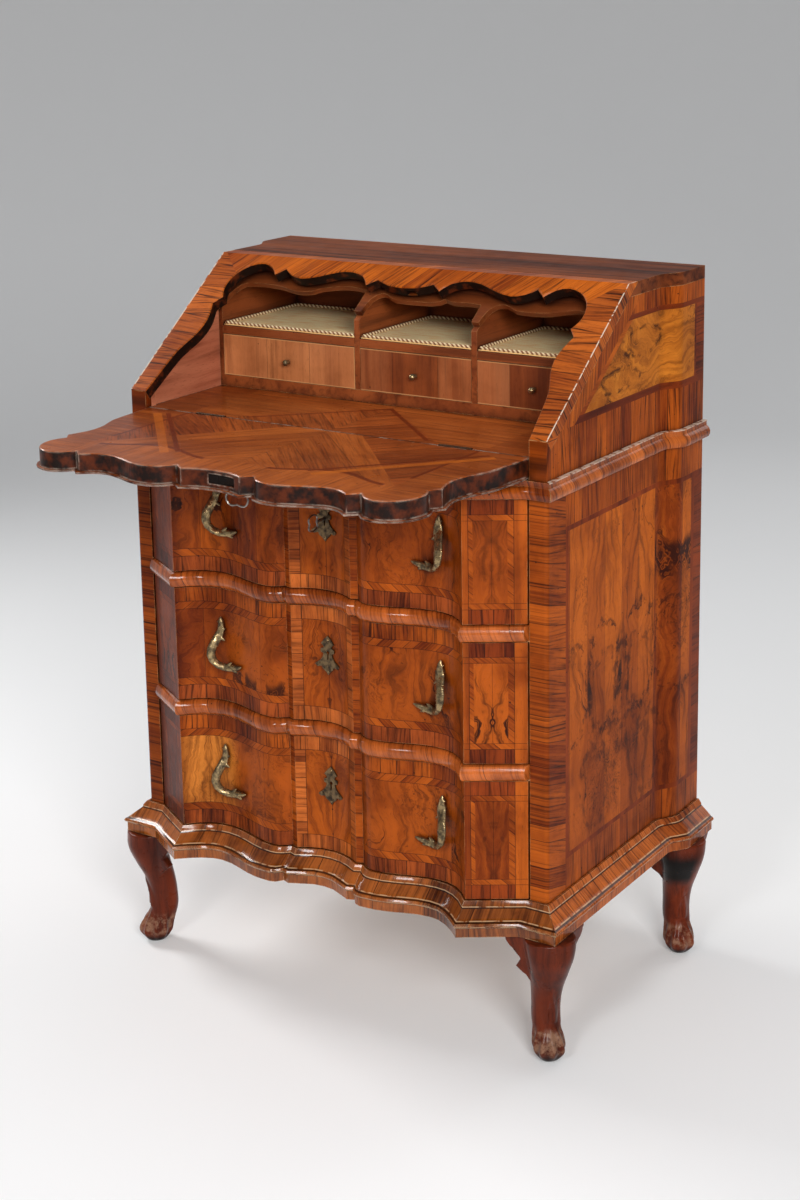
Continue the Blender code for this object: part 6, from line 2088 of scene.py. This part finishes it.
@dataclass
class Metalwork:
    """Brass mounts, steel locks and keys, and the small fixings."""

    brass: Metal = Metal("Aged_brass", shade_of(166, 142, 102), shade_of(74, 62, 46), 0.34)
    plate: Metal = Metal("Brown_brass", shade_of(122, 100, 72), shade_of(48, 38, 28), 0.42)
    steel: Metal = Metal("Worn_steel", shade_of(150, 146, 140), shade_of(84, 78, 72), 0.40)
    dark: Metal = Metal("Tarnished_brass", shade_of(92, 62, 40), shade_of(50, 32, 22), 0.5)
    black: Metal = Metal("Blackened_iron", shade_of(40, 30, 26), shade_of(22, 15, 13), 0.6)
    voxel: float = 0.0007
    swell: float = 0.0008
    leaf_left: float = 0.0010
    leaf_right: float = 0.0042
    leaf_middle_share: float = 0.45
    leaf_half_share: float = 0.42
    vein_depth: float = 0.0011
    nail_rows: int = 8
    nail_end: float = 0.03
    nail_inset: float = 0.012
    pin_heights: tuple[float, float] = (0.08, 0.90)
    screw_places: tuple[tuple[float, float], ...] = ((0.12, 0.2), (0.12, 0.8), (0.88, 0.2), (0.88, 0.8))
    pin_head: tuple[float, float] = (0.0017, 0.0010)
    screw_head: tuple[float, float] = (0.0024, 0.0006)
    nail_head: tuple[float, float, float] = (0.0034, 0.0010, 0.0009)
    """Each head's radius and how far it stands proud, and how deep a nail is driven in."""
    away: float = 0.1
    """How far from a surface the lines of the fixings start."""

    def build(self) -> None:
        """Dresses the metal nodes and sets the fixings."""
        brass, steel = self.brass.material(), self.steel.material()
        dull, plate, black = self.dark.material(), self.plate.material(), self.black.material()
        for name in frame["nodes"]:
            if "handle" in name:
                self.cast_handle(name, brass)
            elif name.startswith("hinge_leaf"):
                dress(name, dull)
            elif "knob" in name:
                dress(name, brass, 50.0)
            elif "escutcheon" in name:
                dress(name, plate, 50.0)
            elif name in ("fall_lock", "fall_bolt"):
                dress(name, black)
            elif name.endswith(("_lock", "_bolt", "_key")):
                dress(name, steel, 50.0)
        self.set_fixings(steel, brass)

    def set_fixings(self, steel: bpy.types.Material, brass: bpy.types.Material) -> None:
        """Drives the screws of the drawer lock, the pins of the plates and the nails of the back.

        Args:
            steel: the material of screws and nails.
            brass: the material of pins.
        """
        pins = Heads("Dome_heads_brass", brass)
        screws = Heads("Slotted_heads_steel", steel, True)
        nails = Heads("Dome_heads_steel", steel)
        for name in [name for name in frame["nodes"] if name.endswith("escutcheon")]:
            low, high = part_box(name)
            middle_x, front_y = (low.x + high.x) / 2, low.y - self.away
            spots = [Vector((middle_x, front_y, low.z + (high.z - low.z) * k)) for k in self.pin_heights]
            pins.drive(f"{name}_pins", name, spots, BACKWARDS, *self.pin_head)
        low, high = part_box("drawer_1_lock")
        size = high - low
        spots = [
            Vector((low.x + size.x * i, high.y + self.away, low.z + size.z * j))
            for i, j in self.screw_places
        ]
        screws.drive("drawer_1_lock_screws", "drawer_1_lock", spots, -BACKWARDS, *self.screw_head)
        low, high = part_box("back_panel")
        height = high.z - low.z - 2 * self.nail_end
        heights = [low.z + self.nail_end + height * k / (self.nail_rows - 1) for k in range(self.nail_rows)]
        inset = self.nail_inset
        spots = [Vector((x, high.y + self.away, z)) for z in heights for x in (low.x + inset, high.x - inset)]
        nails.drive("back_nails", "back_panel", spots, -BACKWARDS, *self.nail_head)

    def cast_handle(self, node: str, material: bpy.types.Material) -> None:
        """Stands a fuller, rounded casting in a handle's place.

        Args:
            node: the handle's node.
            material: its finish.
        """
        mesh = modified(merged_copy(node), {
            "REMESH": {"mode": "VOXEL", "voxel_size": self.voxel, "use_smooth_shade": True},
            "DISPLACE": {"strength": self.swell, "mid_level": 0.0},
            "SMOOTH": {"factor": 0.5, "iterations": 3},
        })
        self.spread_leaf(mesh, node)
        stand_in(node, smoothed(mesh), material)

    def spread_leaf(self, mesh: bpy.types.Mesh, node: str) -> None:
        """Widens the bow of a handle into a leaf with a sunk vein.

        Args:
            mesh: the handle's mesh.
            node: the handle's node.
        """
        low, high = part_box(node)
        breadth = self.leaf_right if node.endswith("right") else self.leaf_left
        ways = [vertex.normal.copy() for vertex in mesh.vertices]
        for vertex, way in zip(mesh.vertices, ways):
            share = min(1.0, max(0.0, (vertex.co.z - low.z) / (high.z - low.z)))
            full = max(0.0, 1.0 - abs(share - self.leaf_middle_share) / self.leaf_half_share) ** 0.7
            vein = max(0.0, -way.y) ** 8 * full * breadth / self.leaf_right
            vertex.co.x += breadth * full * way.x
            vertex.co.y += self.vein_depth * vein


def main() -> None:
    """Builds the whole dressed cabinet."""
    logging.basicConfig(level=logging.INFO, format="%(message)s")
    for assembly in (Studio(), Case(), Drawers(), WritingInterior(), Linings(), Metalwork()):
        assembly.build()
        LOG.info("%s: built", type(assembly).__name__)


if __name__ == "__main__":
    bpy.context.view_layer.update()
    main()
